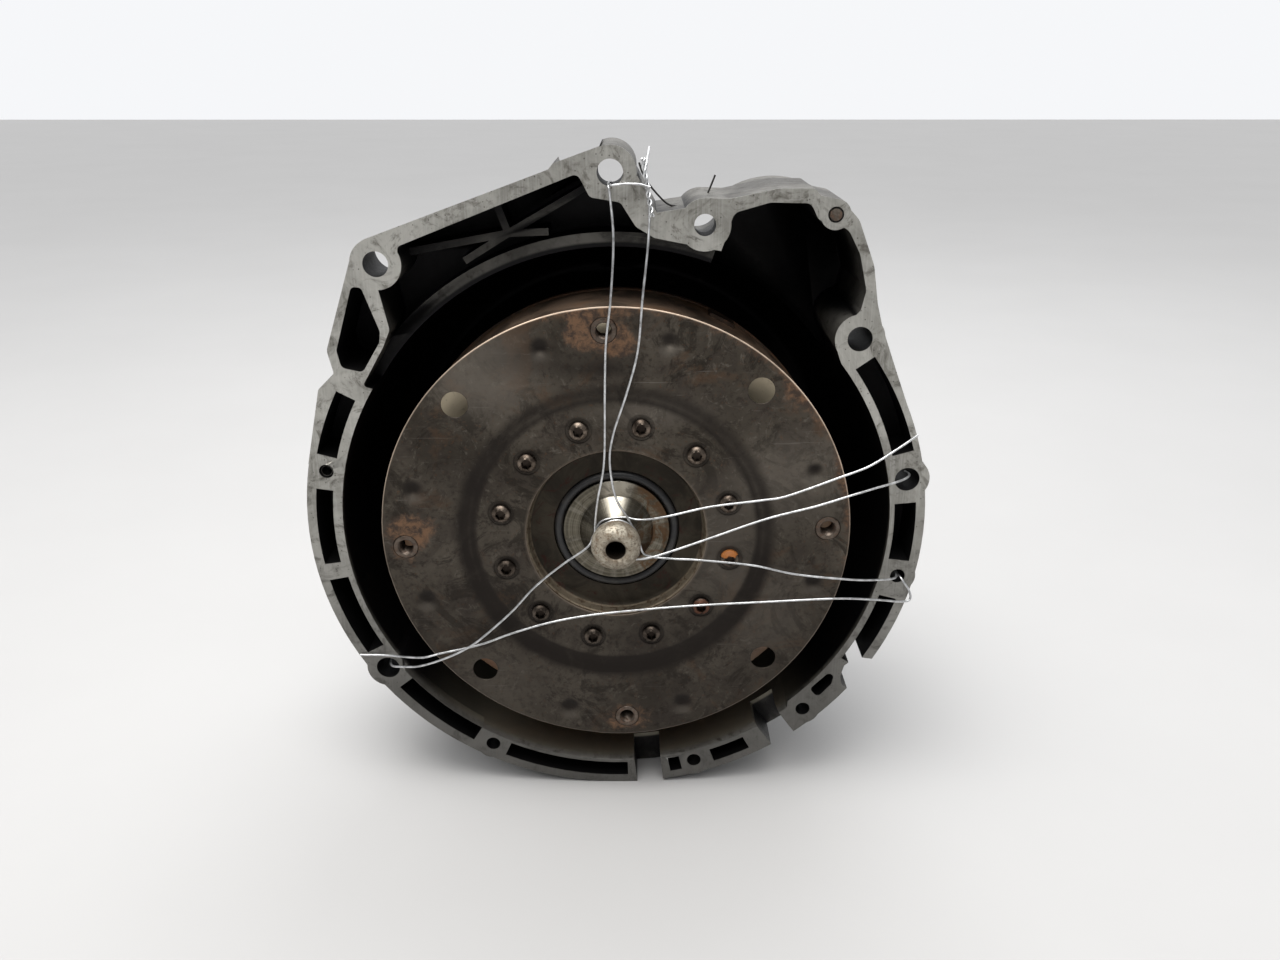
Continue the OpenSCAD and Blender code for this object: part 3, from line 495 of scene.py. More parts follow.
at = places(plate)
radius = np.hypot(at[:, 0], at[:, 2])
bearing = np.degrees(np.arctan2(at[:, 2], at[:, 0]))
rusty = (0.9 * patch(at, -21, 137, 9, 12) + 0.75 * patch(at, -7, 136, 20, 15)
         + 0.6 * patch(at, 4, 128, 12, 9))
rusty += 0.85 * patch(at, -132, 7, 19, 11) + 0.6 * patch(at, -137, -7, 15, 15)
rusty += (0.7 * patch(at, 7, -137, 20, 16) + 0.35 * patch(at, 137, 6, 15, 15)
          + 0.6 * patch(at, 112, 96, 12, 16))
rusty += 0.55 * patch(at, 146, 42, 9, 17) + 0.35 * patch(at, 48, -124, 12, 10)
rusty += 0.55 * smooth((radius - 143) / 8) * smooth((np.cos(np.radians(bearing - 60)) + 0.2) / 1.0)
paint(plate, "rusty", rusty)
# painted shade: a dark band round the annular step and a dark ring round each screw head
shade = smooth(1 - np.abs(radius - 98.5) / 9) * 0.75 + 0.6 * smooth(1 - np.abs(radius - 92.5) / 3.6)
for x0, z0 in SCREWS:
    px, pz = turn_plate(x0, z0)
    d = np.hypot(at[:, 0] - px, at[:, 2] - pz)
    shade += 0.55 * np.exp(-((d - 7.6) / 1.1) ** 2)
glints = 0
# each dimple: a painted highlight on its lower half and painted shade on its upper half
for x0, z0 in DIMPLES:
    px, pz = turn_plate(x0, z0)
    glints = glints + 0.9 * patch(at, px, pz - 5.5, 6, 3.6)
    shade += 1.0 * patch(at, px, pz + 2, 5.5, 4.5)
# a map of painted shade with some grime: the step, screw rings and dimple tops, a band under the top pad,
# patches below it and on the left, and darker towards the bottom
paint(plate, "shade_and_grime_map", shade + 0.4 * patch(at, -7, 113, 24, 5) + 0.45 * smooth((70 - at[:, 2]) / 150)
      + 0.45 * patch(at, -30, 118, 45, 13) + 0.3 * patch(at, -105, 40, 30, 45))
# the rim's edge: wear, plus a painted highlight that grows towards the top; the bore's edge: wear
paint(plate, "edge_wear_and_highlight", smooth((radius - 150.7) / 0.6) * (0.30 + 0.70 * smooth((at[:, 2] + 30) / 100))
      + 0.22 * smooth((59.6 - radius) / 0.6))
# pale patches, and the painted highlights on the dimples' lower halves
paint(plate, "pale", 0.9 * patch(at, -82, 110, 34, 26) + 0.55 * patch(at, 111, 38, 40, 30)
      + 0.6 * patch(at, 67, -10, 26, 40) + 0.5 * patch(at, 20, 84, 40, 9)
      + 0.5 * patch(at, 100, -55, 26, 30) + 0.35 * patch(at, -80, -110, 30, 24) + glints)

f = Finish("heat-browned sheet steel", 0.82)
broad, cloud, fine = (f.noise(9, 5, 0.6, 0.4), f.noise(38, 7, 0.68, 1.0, shift=0.4),
                      f.noise(260, 5, 0.7, 0.2, shift=1.3))
tone = f.mix(f.rise(broad, 0.35, 0.65), (0.046, 0.038, 0.029), (0.112, 0.096, 0.076))
tone = f.mix(f.times(f.rise(cloud, 0.42, 0.68), 0.6), tone, (0.048, 0.038, 0.032))
tone = f.mix(f.times(f.rise(f.noise(85, 6, 0.7, 2.0, shift=2.2), 0.55, 0.7), 0.6), tone,
             (0.175, 0.155, 0.128))
tone = f.mix(f.times(f.rise(fine, 0.48, 0.68), 0.6), tone, (0.028, 0.022, 0.017))
blotch = f.rise(f.noise(24, 8, 0.74, 1.8, shift=5.2), 0.52, 0.60)
tone = f.mix(f.times(blotch, 0.7), tone, (0.020, 0.016, 0.012))
browned = f.rise(f.noise(17, 7, 0.7, 1.4, shift=6.6), 0.54, 0.66)
tone = f.mix(f.times(browned, 0.55), tone, (0.105, 0.062, 0.036))
speckle = f.rise(f.noise(420, 4, 0.7, 0.0, shift=4.1), 0.60, 0.70)
tone = f.mix(f.times(speckle, 0.55), tone, (0.105, 0.052, 0.026))
tone = f.mix(f.times(f.layer("pale"), f.span(cloud, 0.2, 0.9), clamp=True), tone, (0.215, 0.190, 0.160))
scuffs = f.rise(f.streaks(700, (0.025, 1, 1), (0, 0.9, 0)), 0.66, 0.74)
tone = f.mix(f.times(scuffs, 0.22), tone, (0.34, 0.31, 0.28))
# painted shade and grime, from the map above
shade_and_grime = f.times(f.layer("shade_and_grime_map"), f.span(cloud, 0.75, 1.25), clamp=True)
tone = f.mix(shade_and_grime, tone, (0.020, 0.016, 0.0135))
rust = f.rise(f.plus(f.layer("rusty"), f.times(f.calc("SUBTRACT", f.noise(70, 7, 0.75, 1.2), 0.5), 1.5)),
              0.34, 0.80)
rust_tone = f.mix(f.rise(f.noise(180, 5, 0.7, 0.4, shift=1.9), 0.38, 0.62), (0.040, 0.022, 0.013),
                  (0.175, 0.092, 0.046))
tone = f.mix(f.times(rust, 0.85), tone, rust_tone)
# the bright edges: wear and painted highlight
edge_wear_and_highlight_mask = f.times(f.layer("edge_wear_and_highlight"), f.span(cloud, 0.5, 1.2), clamp=True)
tone = f.mix(edge_wear_and_highlight_mask, tone, (0.80, 0.64, 0.50))
shine = f.mix(rust, f.span(f.plus(f.times(cloud, 0.5), f.times(fine, 0.5)), 0.34, 0.66),
              (0.8, 0.8, 0.8))
relief = f.plus(f.times(f.noise(700, 4, 0.65), 0.5), f.times(rust, fine))
fit(plate, "converter", "pressed_steel", f.done(tone, shine, relief, 0.00010, f.span(rust, 0.82, 0.15)),
    "drive_plate")


# ---------- Drive nuts ----------
# Four round weld nuts with M10 threads. Each has a collar that stands in the plate's hole,
# flush with the pad, and takes one bolt of the engine's flex plate.
def grid_faces(rows, around):
    """Quads between neighbours of a grid whose second direction closes on itself."""
    i, j = np.meshgrid(np.arange(rows - 1), np.arange(around), indexing="ij")
    k = (j + 1) % around
    return np.stack([i * around + j, (i + 1) * around + j, (i + 1) * around + k, i * around + k],
                    -1).reshape(-1, 4)


def round_shape(radius, depth, centre=(0.0, 0.0)):
    """Points centre + radius (cos a, sin a) at each depth; radius and depth are rows by angles."""
    a = np.arange(radius.shape[1]) * 2 * np.pi / radius.shape[1]
    depth = np.broadcast_to(depth, radius.shape)
    return np.stack([centre[0] + radius * np.cos(a), depth, centre[1] + radius * np.sin(a)],
                    -1).reshape(-1, 3)


def gather(parts):
    """Several (points, faces) joined into one."""
    starts = np.cumsum([0] + [len(p) for p, _ in parts[:-1]])
    return (np.concatenate([p for p, _ in parts]),
            np.concatenate([q + s for (_, q), s in zip(parts, starts)]))


def nut(centre, start):
    """The outside down to the thread, then the bore: radius 4.5 plus a V wave that climbs once a turn."""
    around, pitch = 64, 1.25
    a = np.arange(around) / around
    outer = np.array([(5.3, 0.05), (7.2, 0.0), (7.7, 0.12), (7.95, 0.45), (7.95, 3.0), (10.6, 3.0),
                      (11.0, 3.4), (11.0, 12.6), (10.6, 13.0), (5.3, 13.0)])
    rows = np.arange(13.0, -0.01, -0.16)
    phase = rows[:, None] / pitch + a[None, :] + start
    wave = np.abs((phase % 1) - 0.5) * 2
    fade = np.clip(np.minimum(rows - 0.2, 12.8 - rows) / 0.9, 0, 1)[:, None]
    bore = 4.5 + 0.62 * wave * fade + 0.8 * (1 - fade)
    radius = np.concatenate([np.repeat(outer[:, :1], around, 1), bore,
                             np.repeat(outer[:1, :1], around, 1)])
    depth = np.concatenate([outer[:, 1], rows, [0.05]])[:, None]
    return round_shape(radius, depth, centre), grid_faces(len(radius), around)


nut_points, nut_faces = gather([nut(turn_plate(*p), 0.2 * i) for i, p in enumerate(NUTS)])
nuts = add_piece("threaded_drive_nuts", nut_points * MM, nut_faces, 35)
fit(nuts, "converter", "rusty_steel",
    steel_finish("weld nut steel", (0.15, 0.122, 0.100), (0.058, 0.043, 0.034), rust=(0.12, 0.062, 0.034),
                 rusted=0.62,
                 rough=(0.3, 0.5), size=4), "drive_nuts")


# ---------- Plate screws ----------
# Twelve button-head screws with star sockets hold the drive plate to the converter's cover.
# Most keep some shine on the dome, and one carries a dab of orange marking paint.
def screw(centre, spin):
    """A dome over a six-lobed socket; below it the underside and the shank, closed at its end."""
    around = 60
    a = np.arange(around) * 2 * np.pi / around
    lobes = 3.05 + 0.38 * np.cos(6 * (a + spin))
    dome = lambda r: -1.3 + 8.6 - np.sqrt(8.6 ** 2 - r ** 2)
    socket = [(0.0, 2.2), (0.6, 2.2), (0.93, 2.15), (0.97, 1.2), (0.99, 0.0), (1.0, dome(3.0) + 0.12)]
    rows = [(lobes * k, y) for k, y in socket] + [(lobes + 0.16, dome(3.2))]
    for r in (3.9, 4.5, 5.1, 5.6, 5.95):
        rows.append((np.full(around, r), dome(r)))
    body = [(6.15, 1.25), (6.2, 1.6), (6.2, 3.2), (6.05, 3.45), (4.2, 3.5), (4.2, 5.8), (3.95, 6.0),
            (3.95, 13.2),
            (3.5, 13.8), (0.0, 13.8)]
    rows += [(np.full(around, r), y) for r, y in body]
    radius = np.stack([r for r, _ in rows])
    depth = np.array([y for _, y in rows])[:, None]
    return round_shape(radius, depth, centre), grid_faces(len(radius), around)


spins = np.random.default_rng(7).uniform(0, 1, 12)
screw_points, screw_faces = gather([screw(turn_plate(*p), s) for p, s in zip(SCREWS, spins)])
screws = add_piece("plate_screw_set", screw_points * MM, screw_faces, 38)
at = places(screws)
marked = turn_plate(*SCREWS[11])
paint(screws, "paint_dab", 1.2 * patch(at, marked[0] - 1.0, marked[1] + 4.6, 6.5, 3.4))
pink = turn_plate(*SCREWS[10])
paint(screws, "rusty", 0.8 * patch(at, pink[0], pink[1], 8, 8) + 0.35 * smooth((at[:, 2] - 20) / 60)
      * (at[:, 0] > 20))
paint(screws, "low", smooth((10 - at[:, 2]) / 40))
heads = np.stack([turn_plate(*p) for p in SCREWS])
off_axis = np.linalg.norm(at[:, None, (0, 2)] - heads[None], axis=2).min(1)
# painted shade: near black inside each star socket and round the rim of each head
paint(screws, "sunk", smooth((3.3 - off_axis) / 0.25) * (at[:, 1] > -0.75)
      + smooth((off_axis - 5.4) / 0.6))

f = Finish("screw steel", 0.95)
cloud, fine = f.noise(120, 6, 0.7, 0.8), f.noise(900, 4, 0.7)
tone = f.mix(f.rise(cloud, 0.38, 0.62), (0.060, 0.045, 0.034), (0.230, 0.185, 0.148))
tone = f.mix(f.times(f.layer("low"), 0.6), tone, (0.038, 0.031, 0.026))
rust = f.rise(f.plus(f.layer("rusty"), f.times(f.calc("SUBTRACT", cloud, 0.5), 1.6)), 0.45, 0.75)
tone = f.mix(rust, tone, (0.155, 0.070, 0.045))
# the painted shade from the layer above
tone = f.mix(f.times(f.layer("sunk"), 0.9), tone, (0.014, 0.010, 0.008))
dab = f.rise(f.plus(f.layer("paint_dab"), f.times(f.calc("SUBTRACT", fine, 0.5), 0.7)), 0.40, 0.52)
tone = f.mix(dab, tone, (0.34, 0.115, 0.022))
shine = f.mix(f.calc("MAXIMUM", rust, dab), f.span(cloud, 0.22, 0.42), (0.62, 0.62, 0.62))
fit(screws, "converter", "screw_steel",
    f.done(tone, shine, fine, 0.00005, f.calc("SUBTRACT", 0.95, f.times(dab, 0.95))), "plate_screws")

# ---------- Front cover ----------
# The converter's engine-side half, pressed from thick sheet: a sunk middle with a turned
# wall, a raised band for the plate's screws and a rounded shoulder, brown with light rust.
def rounded(profile):
    """The profile's (radius, y, fillet) corners with each fillet drawn as a short arc of a parabola."""
    corners = np.array(profile, float)
    out = []
    for before, here, after in zip(np.roll(corners, 1, 0), corners, np.roll(corners, -1, 0)):
        if here[2] == 0:
            out.append(here[None, :2])
            continue
        towards, onward = before[:2] - here[:2], after[:2] - here[:2]
        back = here[:2] + towards / np.linalg.norm(towards) * min(here[2], np.linalg.norm(towards) * 0.49)
        on = here[:2] + onward / np.linalg.norm(onward) * min(here[2], np.linalg.norm(onward) * 0.49)
        t = np.linspace(0, 1, 6)[:, None]
        out.append((1 - t) ** 2 * back + 2 * t * (1 - t) * here[:2] + t ** 2 * on)
    return np.concatenate(out)


def turned(profile, around=240):
    """A closed profile of (radius, y) carried round the crank axis."""
    loop = np.concatenate([profile, profile[:1]])
    radius = np.repeat(loop[:, :1], around, 1)
    return round_shape(radius, loop[:, 1:2]), grid_faces(len(loop), around)


cover_profile = rounded([(34.9, 17.5, 0), (41.4, 17.5, 0), (41.4, 14, 0.3), (55, 14, 1.2),
                         (57.2, 12.2, 1.0), (58.1, 6.8, 0.3), (59, 6, 0), (90, 6, 1), (93, 8, 1.5),
                         (95, 13, 1.5), (98, 16, 2), (131, 16, 5), (139, 19, 4), (144, 25, 4),
                         (146, 33, 3), (146, 76, 0), (142, 76, 0), (142, 34, 3), (139, 27, 3),
                         (134, 22, 3), (131, 21, 0), (96, 21, 0), (92, 18, 0),
                         (64, 18, 0), (60, 20, 0), (57, 27, 0), (34.9, 27, 0)])
cover_points, cover_quads = turned(cover_profile)
cover = add_piece("converter_front_cover", cover_points * MM, cover_quads, 30)
f = Finish("rusty converter steel", 0.7)
cloud, fine, broad = (f.noise(34, 7, 0.7, 1.0), f.noise(230, 5, 0.7, 0.4, shift=0.7),
                      f.noise(10, 4, 0.6, 0.4))
outside = f.rise(f.across(), 0.088, 0.096)
tone = f.mix(f.rise(cloud, 0.36, 0.64), (0.085, 0.060, 0.043), (0.230, 0.160, 0.112))
tone = f.mix(f.times(f.rise(broad, 0.42, 0.62), 0.8), tone, (0.260, 0.135, 0.070))
sunk = f.mix(f.rise(cloud, 0.38, 0.66), (0.022, 0.018, 0.013), (0.052, 0.043, 0.031))
blood = f.rise(f.noise(48, 6, 0.75, 2.2, shift=1.4), 0.55, 0.66)
sunk = f.mix(f.times(blood, 0.8), sunk, (0.038, 0.012, 0.009))
# painted light on the upper half of the cover's outer shoulder
lit_top_of_shoulder = f.times(f.rise(f.across(), 0.118, 0.124), f.rise(f.y, 0.0245, 0.0205))
tone = f.mix(f.times(lit_top_of_shoulder, f.times(f.span(cloud, 0.5, 1.0), f.rise(f.z, -0.03, 0.06))), tone,
             (0.34, 0.30, 0.215))
tone = f.mix(f.rise(f.across(), 0.0600, 0.0585), tone, sunk)
lip = f.times(f.rise(f.across(), 0.0560, 0.0572), f.rise(f.across(), 0.0600, 0.0588))
lip_tone = f.mix(f.rise(fine, 0.45, 0.7), (0.26, 0.215, 0.155), (0.11, 0.07, 0.042))
tone = f.mix(f.times(lip, 0.85), tone, lip_tone)
tone = f.mix(f.times(f.rise(fine, 0.55, 0.75), 0.55), tone, (0.030, 0.018, 0.012))
marks = f.rings(1500)
relief = f.plus(f.times(fine, f.span(outside, 0.25, 0.8)), f.times(marks, 0.25))
fit(cover, "converter", "rusty_steel",
    f.done(tone, f.span(cloud, 0.42, 0.72), relief, 0.00012, f.span(outside, 0.8, 0.35)), "front_cover")

# ---------- Pilot hub ----------
# A forged and turned hub welded in the cover's middle. Its cone has lathe marks and a painted
# highlight across its top; its rounded nose, which centres in the crankshaft, is pitted with pale corrosion.
hub_profile = rounded([(0, 6, 0), (6.4, 6, 0), (6.4, -18.9, 0.2), (8.0, -20, 0.3), (9.8, -20, 1.2),
                       (13.6, -17.6, 2.5), (15.9, -14.6, 1.8), (16, -8.2, 1.4), (14.9, -5.9, 1.6),
                       (11.6, -3.4, 1.4), (10.6, -1, 1.6), (12.1, 1.0, 1.2), (23.4, 10.9, 0.7),
                       (24.5, 12, 0.6), (34.8, 12, 0.5), (34.8, 27, 0), (14.2, 27, 0),
                       (14.2, 30, 0), (0, 30, 0)])
around = 200
a = np.arange(around) * 2 * np.pi / around
loop = np.concatenate([hub_profile, hub_profile[:1]])
dents = sum(np.sin(k * a + p) * w
            for k, p, w in ((3, 0.4, 0.05), (7, 2.1, 0.035), (11, 4.0, 0.03), (17, 1.2, 0.02)))
worn = smooth((-5.0 - loop[:, 1]) / 3.0) * smooth((loop[:, 0] - 9.0) / 2.0)
radius = loop[:, :1] - np.abs(dents)[None, :] * worn[:, None]
hub = add_piece("turned_pilot_hub", round_shape(radius, loop[:, 1:2]) * MM, grid_faces(len(loop), around),
                30)
f = Finish("turned and corroded hub steel", 0.85)
cloud, fine = f.noise(110, 7, 0.72, 0.8), f.noise(620, 5, 0.75, 0.3, shift=0.6)
cone = f.mix(f.rise(f.rings(2300, 1), 0.3, 0.7), (0.070, 0.062, 0.046), (0.150, 0.135, 0.104))
fan = f.put("ShaderNodeMath", {"operation": "ARCTAN2"}).outputs[0]
f.set(fan.node.inputs[0], f.z)
f.set(fan.node.inputs[1], f.x)
rays = f.noise(7.0, 3, 0.6, 0.0, f.put("ShaderNodeCombineXYZ", X=fan, Y=0.0, Z=0.0).outputs[0])
cone = f.mix(f.times(f.rise(rays, 0.45, 0.65), 0.35), cone, (0.30, 0.28, 0.24))
# painted highlight across the top of the cone
painted_highlight_wedge = f.times(f.rise(fan, 1.15, 1.42), f.rise(fan, 1.98, 1.72))
cone = f.mix(f.times(painted_highlight_wedge, 0.75), cone, (0.52, 0.48, 0.40))
oil = f.rise(f.noise(60, 6, 0.7, 1.4, shift=1.2), 0.5, 0.64)
cone = f.mix(f.times(oil, 0.6), cone, (0.045, 0.038, 0.028))
side = f.times(f.rise(f.x, 0.009, 0.018), f.rise(f.noise(85, 6, 0.7, 1.0, shift=2.0), 0.40, 0.56))
cone = f.mix(f.times(side, 0.85), cone, (0.085, 0.045, 0.022))
nose = f.mix(f.rise(cloud, 0.35, 0.65), (0.235, 0.195, 0.145), (0.50, 0.455, 0.370))
pits = f.rise(fine, 0.50, 0.64)
nose = f.mix(f.times(pits, 0.75), nose, (0.105, 0.072, 0.045))
nose = f.mix(f.times(f.rise(f.noise(150, 6, 0.7, 1.0, shift=3.0), 0.52, 0.64), 0.6), nose,
             (0.185, 0.115, 0.062))
on_nose = f.rise(f.y, -0.0015, -0.0040)
tone = f.mix(on_nose, cone, nose)
# painted shade inside the bore
bore_shade = f.times(f.rise(f.across(), 0.0069, 0.0066), f.rise(f.y, -0.0194, -0.0180))
tone = f.mix(bore_shade, tone, (0.030, 0.022, 0.016))
relief = f.mix(on_nose, f.times(f.rings(1900), 0.25), f.calc("SUBTRACT", 1.0, f.times(pits, fine)))
fit(hub, "converter", "machined_steel",
    f.done(tone, f.mix(on_nose, f.span(cloud, 0.20, 0.40), f.span(fine, 0.40, 0.68)), relief, 0.00022,
           f.span(on_nose, 0.95, 0.55)), "pilot_hub")

# ---------- Hub ring ----------
# A black rubber ring in the groove round the hub. It keeps dirt out of the cover's middle.
a, b = np.meshgrid(np.arange(240) * 2 * np.pi / 240, np.arange(28) * 2 * np.pi / 28)
ring_r = 38.15 + 2.66 * np.cos(b) + 0.06 * np.sin(5 * a + 1)
ring = np.stack([ring_r * np.cos(a), 14.7 + 2.66 * np.sin(b) + 0.05 * np.sin(7 * a), ring_r * np.sin(a)],
                -1)
ring = np.concatenate([ring, ring[:1]]).reshape(-1, 3)
hub_ring = add_piece("rubber_hub_ring", ring * MM, grid_faces(29, 240), 60)
fit(hub_ring, "converter", "black_rubber", rubber_finish("hub ring rubber", dust=0.35), "hub_ring")

# ---------- Impeller ----------
# The converter's rear half: a pressed shell welded to the cover with a bead, its blades
# brazed between shell and core ring, and the neck that turns the oil pump.
def oval(width, height, start, end, steps=30):
    """Half an ellipse round the fluid circuit: radius 99 + width cos t, y 85.5 + height sin t."""
    t = np.radians(np.linspace(start, end, steps))
    return np.stack([99 + width * np.cos(t), 85.5 + height * np.sin(t)], 1)


bead = np.array([(142.1, 76.1), (145.8, 76.1), (146.9, 76.8), (147.15, 77.5), (146.9, 78.4), (145.9, 79.1),
                 (145.9, 86.9)])
shell_profile = np.concatenate([bead, oval(42.9, 36, 18, 157), [(52.1, 103.5), (52.1, 98.8)],
                                oval(40.1, 33, 8, 157)[::-1], [(142.1, 84)]])
around = 360
a = np.arange(around) * 2 * np.pi / around
loop = np.concatenate([shell_profile, shell_profile[:1]])
ripple = 0.12 * np.cos(150 * a)[None, :] * ((loop[:, 0] > 146.5) & (loop[:, 1] < 79))[:, None]
shell = add_piece("impeller_shell_skin", round_shape(loop[:, :1] - np.abs(ripple), loop[:, 1:2]) * MM,
                  grid_faces(len(loop), around), 30)
fit(shell, "converter", "rusty_steel",
    steel_finish("impeller shell steel", (0.125, 0.090, 0.066), (0.055, 0.038, 0.028),
                 rust=(0.16, 0.075, 0.036), rusted=0.75, rough=(0.42, 0.65), metallic=0.6),
    "impeller_shell")
oiled = dict(rusted=0.02, rough=(0.18, 0.34), oil=0.5)
dress(steel_finish("oiled blade steel", (0.27, 0.25, 0.22), (0.14, 0.125, 0.105), **oiled),
      "impeller_blades", "impeller_core", "turbine_shell", "turbine_blades", "turbine_core")
dress(steel_finish("plated rivet steel", (0.45, 0.43, 0.40), (0.30, 0.28, 0.25), size=3, **oiled),
      "turbine_rivets")
dress(steel_finish("balance weight steel", (0.17, 0.13, 0.10), (0.07, 0.05, 0.04), rusted=0.55, size=2),
      "balance_weights")
dress(cast_finish("stator casting"), "stator_wheel")

# ---------- Torsion damper ----------
# Twelve coil springs stand in a ring between the driven plate on the turbine's hub and the
# retainer that the lock-up piston turns. They take the jerks out of the locked drive.
dress(steel_finish("stamped damper steel", (0.24, 0.22, 0.20), (0.12, 0.105, 0.09), **oiled),
      "damper_driven_plate", "damper_retainer")


def coil(bearing, turns=9.0, wire_r=1.15, coil_r=4.75, length=47.6):
    """A tube round the helix coil_r (cos, sin) that climbs evenly, its first and last turn closed up."""
    steps, sides = int(turns * 22), 8
    t = np.linspace(0, turns, steps)
    free = (t - turns / 2) / (turns / 2)
    height = (length / 2 - wire_r) * np.sign(free) * (1 - (1 - np.abs(free)) ** 0.9)
    a = 2 * np.pi * t
    middle = np.stack([coil_r * np.cos(a), coil_r * np.sin(a), height], 1)
    return sweep(middle, wire_r, sides, lambda p: place_spring(p, bearing))


def place_spring(p, bearing):
    """Spring points, with its own axis along z, set 121 mm out and turned to its bearing."""
    c, s = math.cos(bearing), math.sin(bearing)
    x, z = 121 + p[:, 0], p[:, 2]
    return np.stack([x * c - z * s, 40 + p[:, 1], x * s + z * c], 1)


def sweep(middle, tube_r, sides, move=lambda p: p):
    """A round tube of tube_r about a line of points, its ends closed to a point. Each ring's first
    side is carried on from the last one without twist."""
    ahead = np.gradient(middle, axis=0)
    ahead /= np.linalg.norm(ahead, axis=1)[:, None]
    side = np.zeros_like(middle)
    first = np.cross(ahead[0], (0.3, 0.2, 0.9))
    side[0] = first / np.linalg.norm(first)
    for i in range(1, len(middle)):
        carried = side[i - 1] - ahead[i] * (side[i - 1] @ ahead[i])
        side[i] = carried / np.linalg.norm(carried)
    up = np.cross(ahead, side)
    b = np.arange(sides) * 2 * np.pi / sides
    grid = middle[:, None] + tube_r * (side[:, None] * np.cos(b)[None, :, None] + up[:, None]
                                       * np.sin(b)[None, :, None])
    grid = np.concatenate([np.repeat(middle[:1, None], sides, 1), grid,
                           np.repeat(middle[-1:, None], sides, 1)])
    return move(grid.reshape(-1, 3)), grid_faces(len(grid), sides)


spring_points, spring_faces = gather([coil(math.radians(15 + 30 * i)) for i in range(12)])
springs = add_piece("damper_coil_springs", spring_points * MM, spring_faces, 60)
fit(springs, "damper", "inner_steel",
    steel_finish("spring steel", (0.30, 0.28, 0.26), (0.16, 0.15, 0.14), size=3,
                 **oiled), "damper_springs")

# ---------- Lock-up clutch ----------
# A pressed piston that oil pushes forward, so that the paper lining bonded to it grips the
# front cover and the converter turns as one.
dress(steel_finish("pressed piston steel", (0.29, 0.27, 0.25), (0.16, 0.145, 0.13), turned_marks=0.1,
                   **oiled),
      "lockup_piston")
f = Finish("friction paper", 0.0)
cloud, fibre = f.noise(50, 6, 0.7, 0.8), f.noise(1400, 4, 0.7)
tone = f.mix(f.rise(cloud, 0.35, 0.65), (0.100, 0.070, 0.038), (0.190, 0.140, 0.082))
dress(f.done(f.mix(f.times(fibre, 0.5), tone, (0.06, 0.04, 0.02)), f.span(fibre, 0.55, 0.8), fibre,
             0.00008),
      "friction_lining")

# ---------- Input shaft ----------
# A hardened shaft with splines for the turbine's hub at one end and for the gear train at
# the other, ground where it runs in its bushes.
dress(steel_finish("hardened shaft steel", (0.44, 0.43, 0.41), (0.28, 0.27, 0.25), rusted=0.04,
                   rough=(0.16, 0.32),
                   turned_marks=0.3, oil=0.3), "input_shaft")

# ---------- Retaining wires ----------
# Bright galvanised wire, 1.5 mm thick, tied from the flange to the nose's neck so that the
# converter can't slide off its shafts. The wires stay with the housing and stand still. Each
# route lists x, y and z in millimetres.
def through(points, steps=8):
    """A smooth line through all the points: on each span a cubic whose slope at a point is half the
    step from the point before it to the one after."""
    p = np.array(points, float)
    a, b, c, d = np.concatenate([p[:1], p[:-2]]), p[:-1], p[1:], np.concatenate([p[2:], p[-1:]])
    t = (np.arange(steps) / steps)[None, :, None]
    a, b, c, d = (q[:, None] for q in (a, b, c, d))
    line = (2 * b + (c - a) * t + (2 * a - 5 * b + 4 * c - d) * t ** 2 + (3 * b - 3 * c + d - a)
            * t ** 3) / 2
    return np.concatenate([line.reshape(-1, 3), p[-1:]])


WIRE_R = 0.74
ROUTES = {
    "wire_top": [(-2, 30, 220), (-3, 20, 220.5), (-3, 11, 220), (-2, 8, 214), (0, 0, 190), (-2, -4, 156),
        (-5, -4, 130), (-6, -4, 100), (-7, -4, 55), (-11.5, -4, 28), (-13.5, -2, 8), (-12.6, -1, -1),
        (-9, -1, -9), (0, -1, -12.8), (9, -1, -9), (12.8, -1, 1), (8, -2, 14), (0, -4, 30), (-3.5, -4, 54),
        (-1, -4, 73), (7, -4, 98), (14, -4, 125), (17, -3.5, 158), (20, 2, 186), (21, 9, 205),
        (20, 12, 214), (19, 17, 228), (21, 30, 240)],
    "wire_right": [(190, 26, 36), (190, 14, 38), (183, 8, 36.5), (165, 1, 34), (150, -3, 31),
        (128, -4, 24), (96, -4, 15), (61, -4.5, 2), (32, -5.2, -8.5), (18, -5.2, -12.5), (6, -3.6, -13.2),
        (-6, -3.3, -12.8), (-14, -3.3, -3), (-11, -3.3, 8.7), (1, -3.3, 14), (11.4, -3.3, 8.2),
        (15.2, -2.8, -3), (19.5, -2.2, -11.5), (36, -3, -13.5), (53, -4, -14), (89, -4, -18),
        (117, -4, -24.5), (154, -3, -29), (177, 6.5, -34), (187, 12, -35.2), (188.5, 20, -34)],
    "wire_left": [(190, 4, 69), (177, 3, 59.5), (160, -1, 50), (141, -3, 43), (109, -4, 31), (93, -4, 28),
        (60, -4, 23.5), (33, -4, 17), (16, -0.5, 13), (4, 0.9, 14.2), (-9.5, 0.9, 11.2), (-14.8, 0.9, 1),
        (-19, -2, -6), (-36, -4, -18), (-54, -4, -34), (-69, -5, -51), (-86, -6, -67), (-98, -6, -77),
        (-114, -5.5, -86), (-134, 0, -96), (-148, 7, -101), (-157, 12, -103), (-160, 24, -104)],
    "wire_cross": [(-178, 12, -94.5), (-161, 11.5, -94.5), (-145, 5, -92), (-131, -2.2, -88),
                   (-119, -2.8, -84.5),
        (-92, -3.2, -77.5), (-69, -4, -68), (-40, -4, -59), (-6, -4, -53), (45, -4, -48), (96, -4, -45),
        (144, -4, -42.5), (171, 3, -47), (190, 8.5, -51.5), (197.5, 10, -51), (197, 11, -45),
        (191.5, 14, -36.8), (190, 24, -36)]}

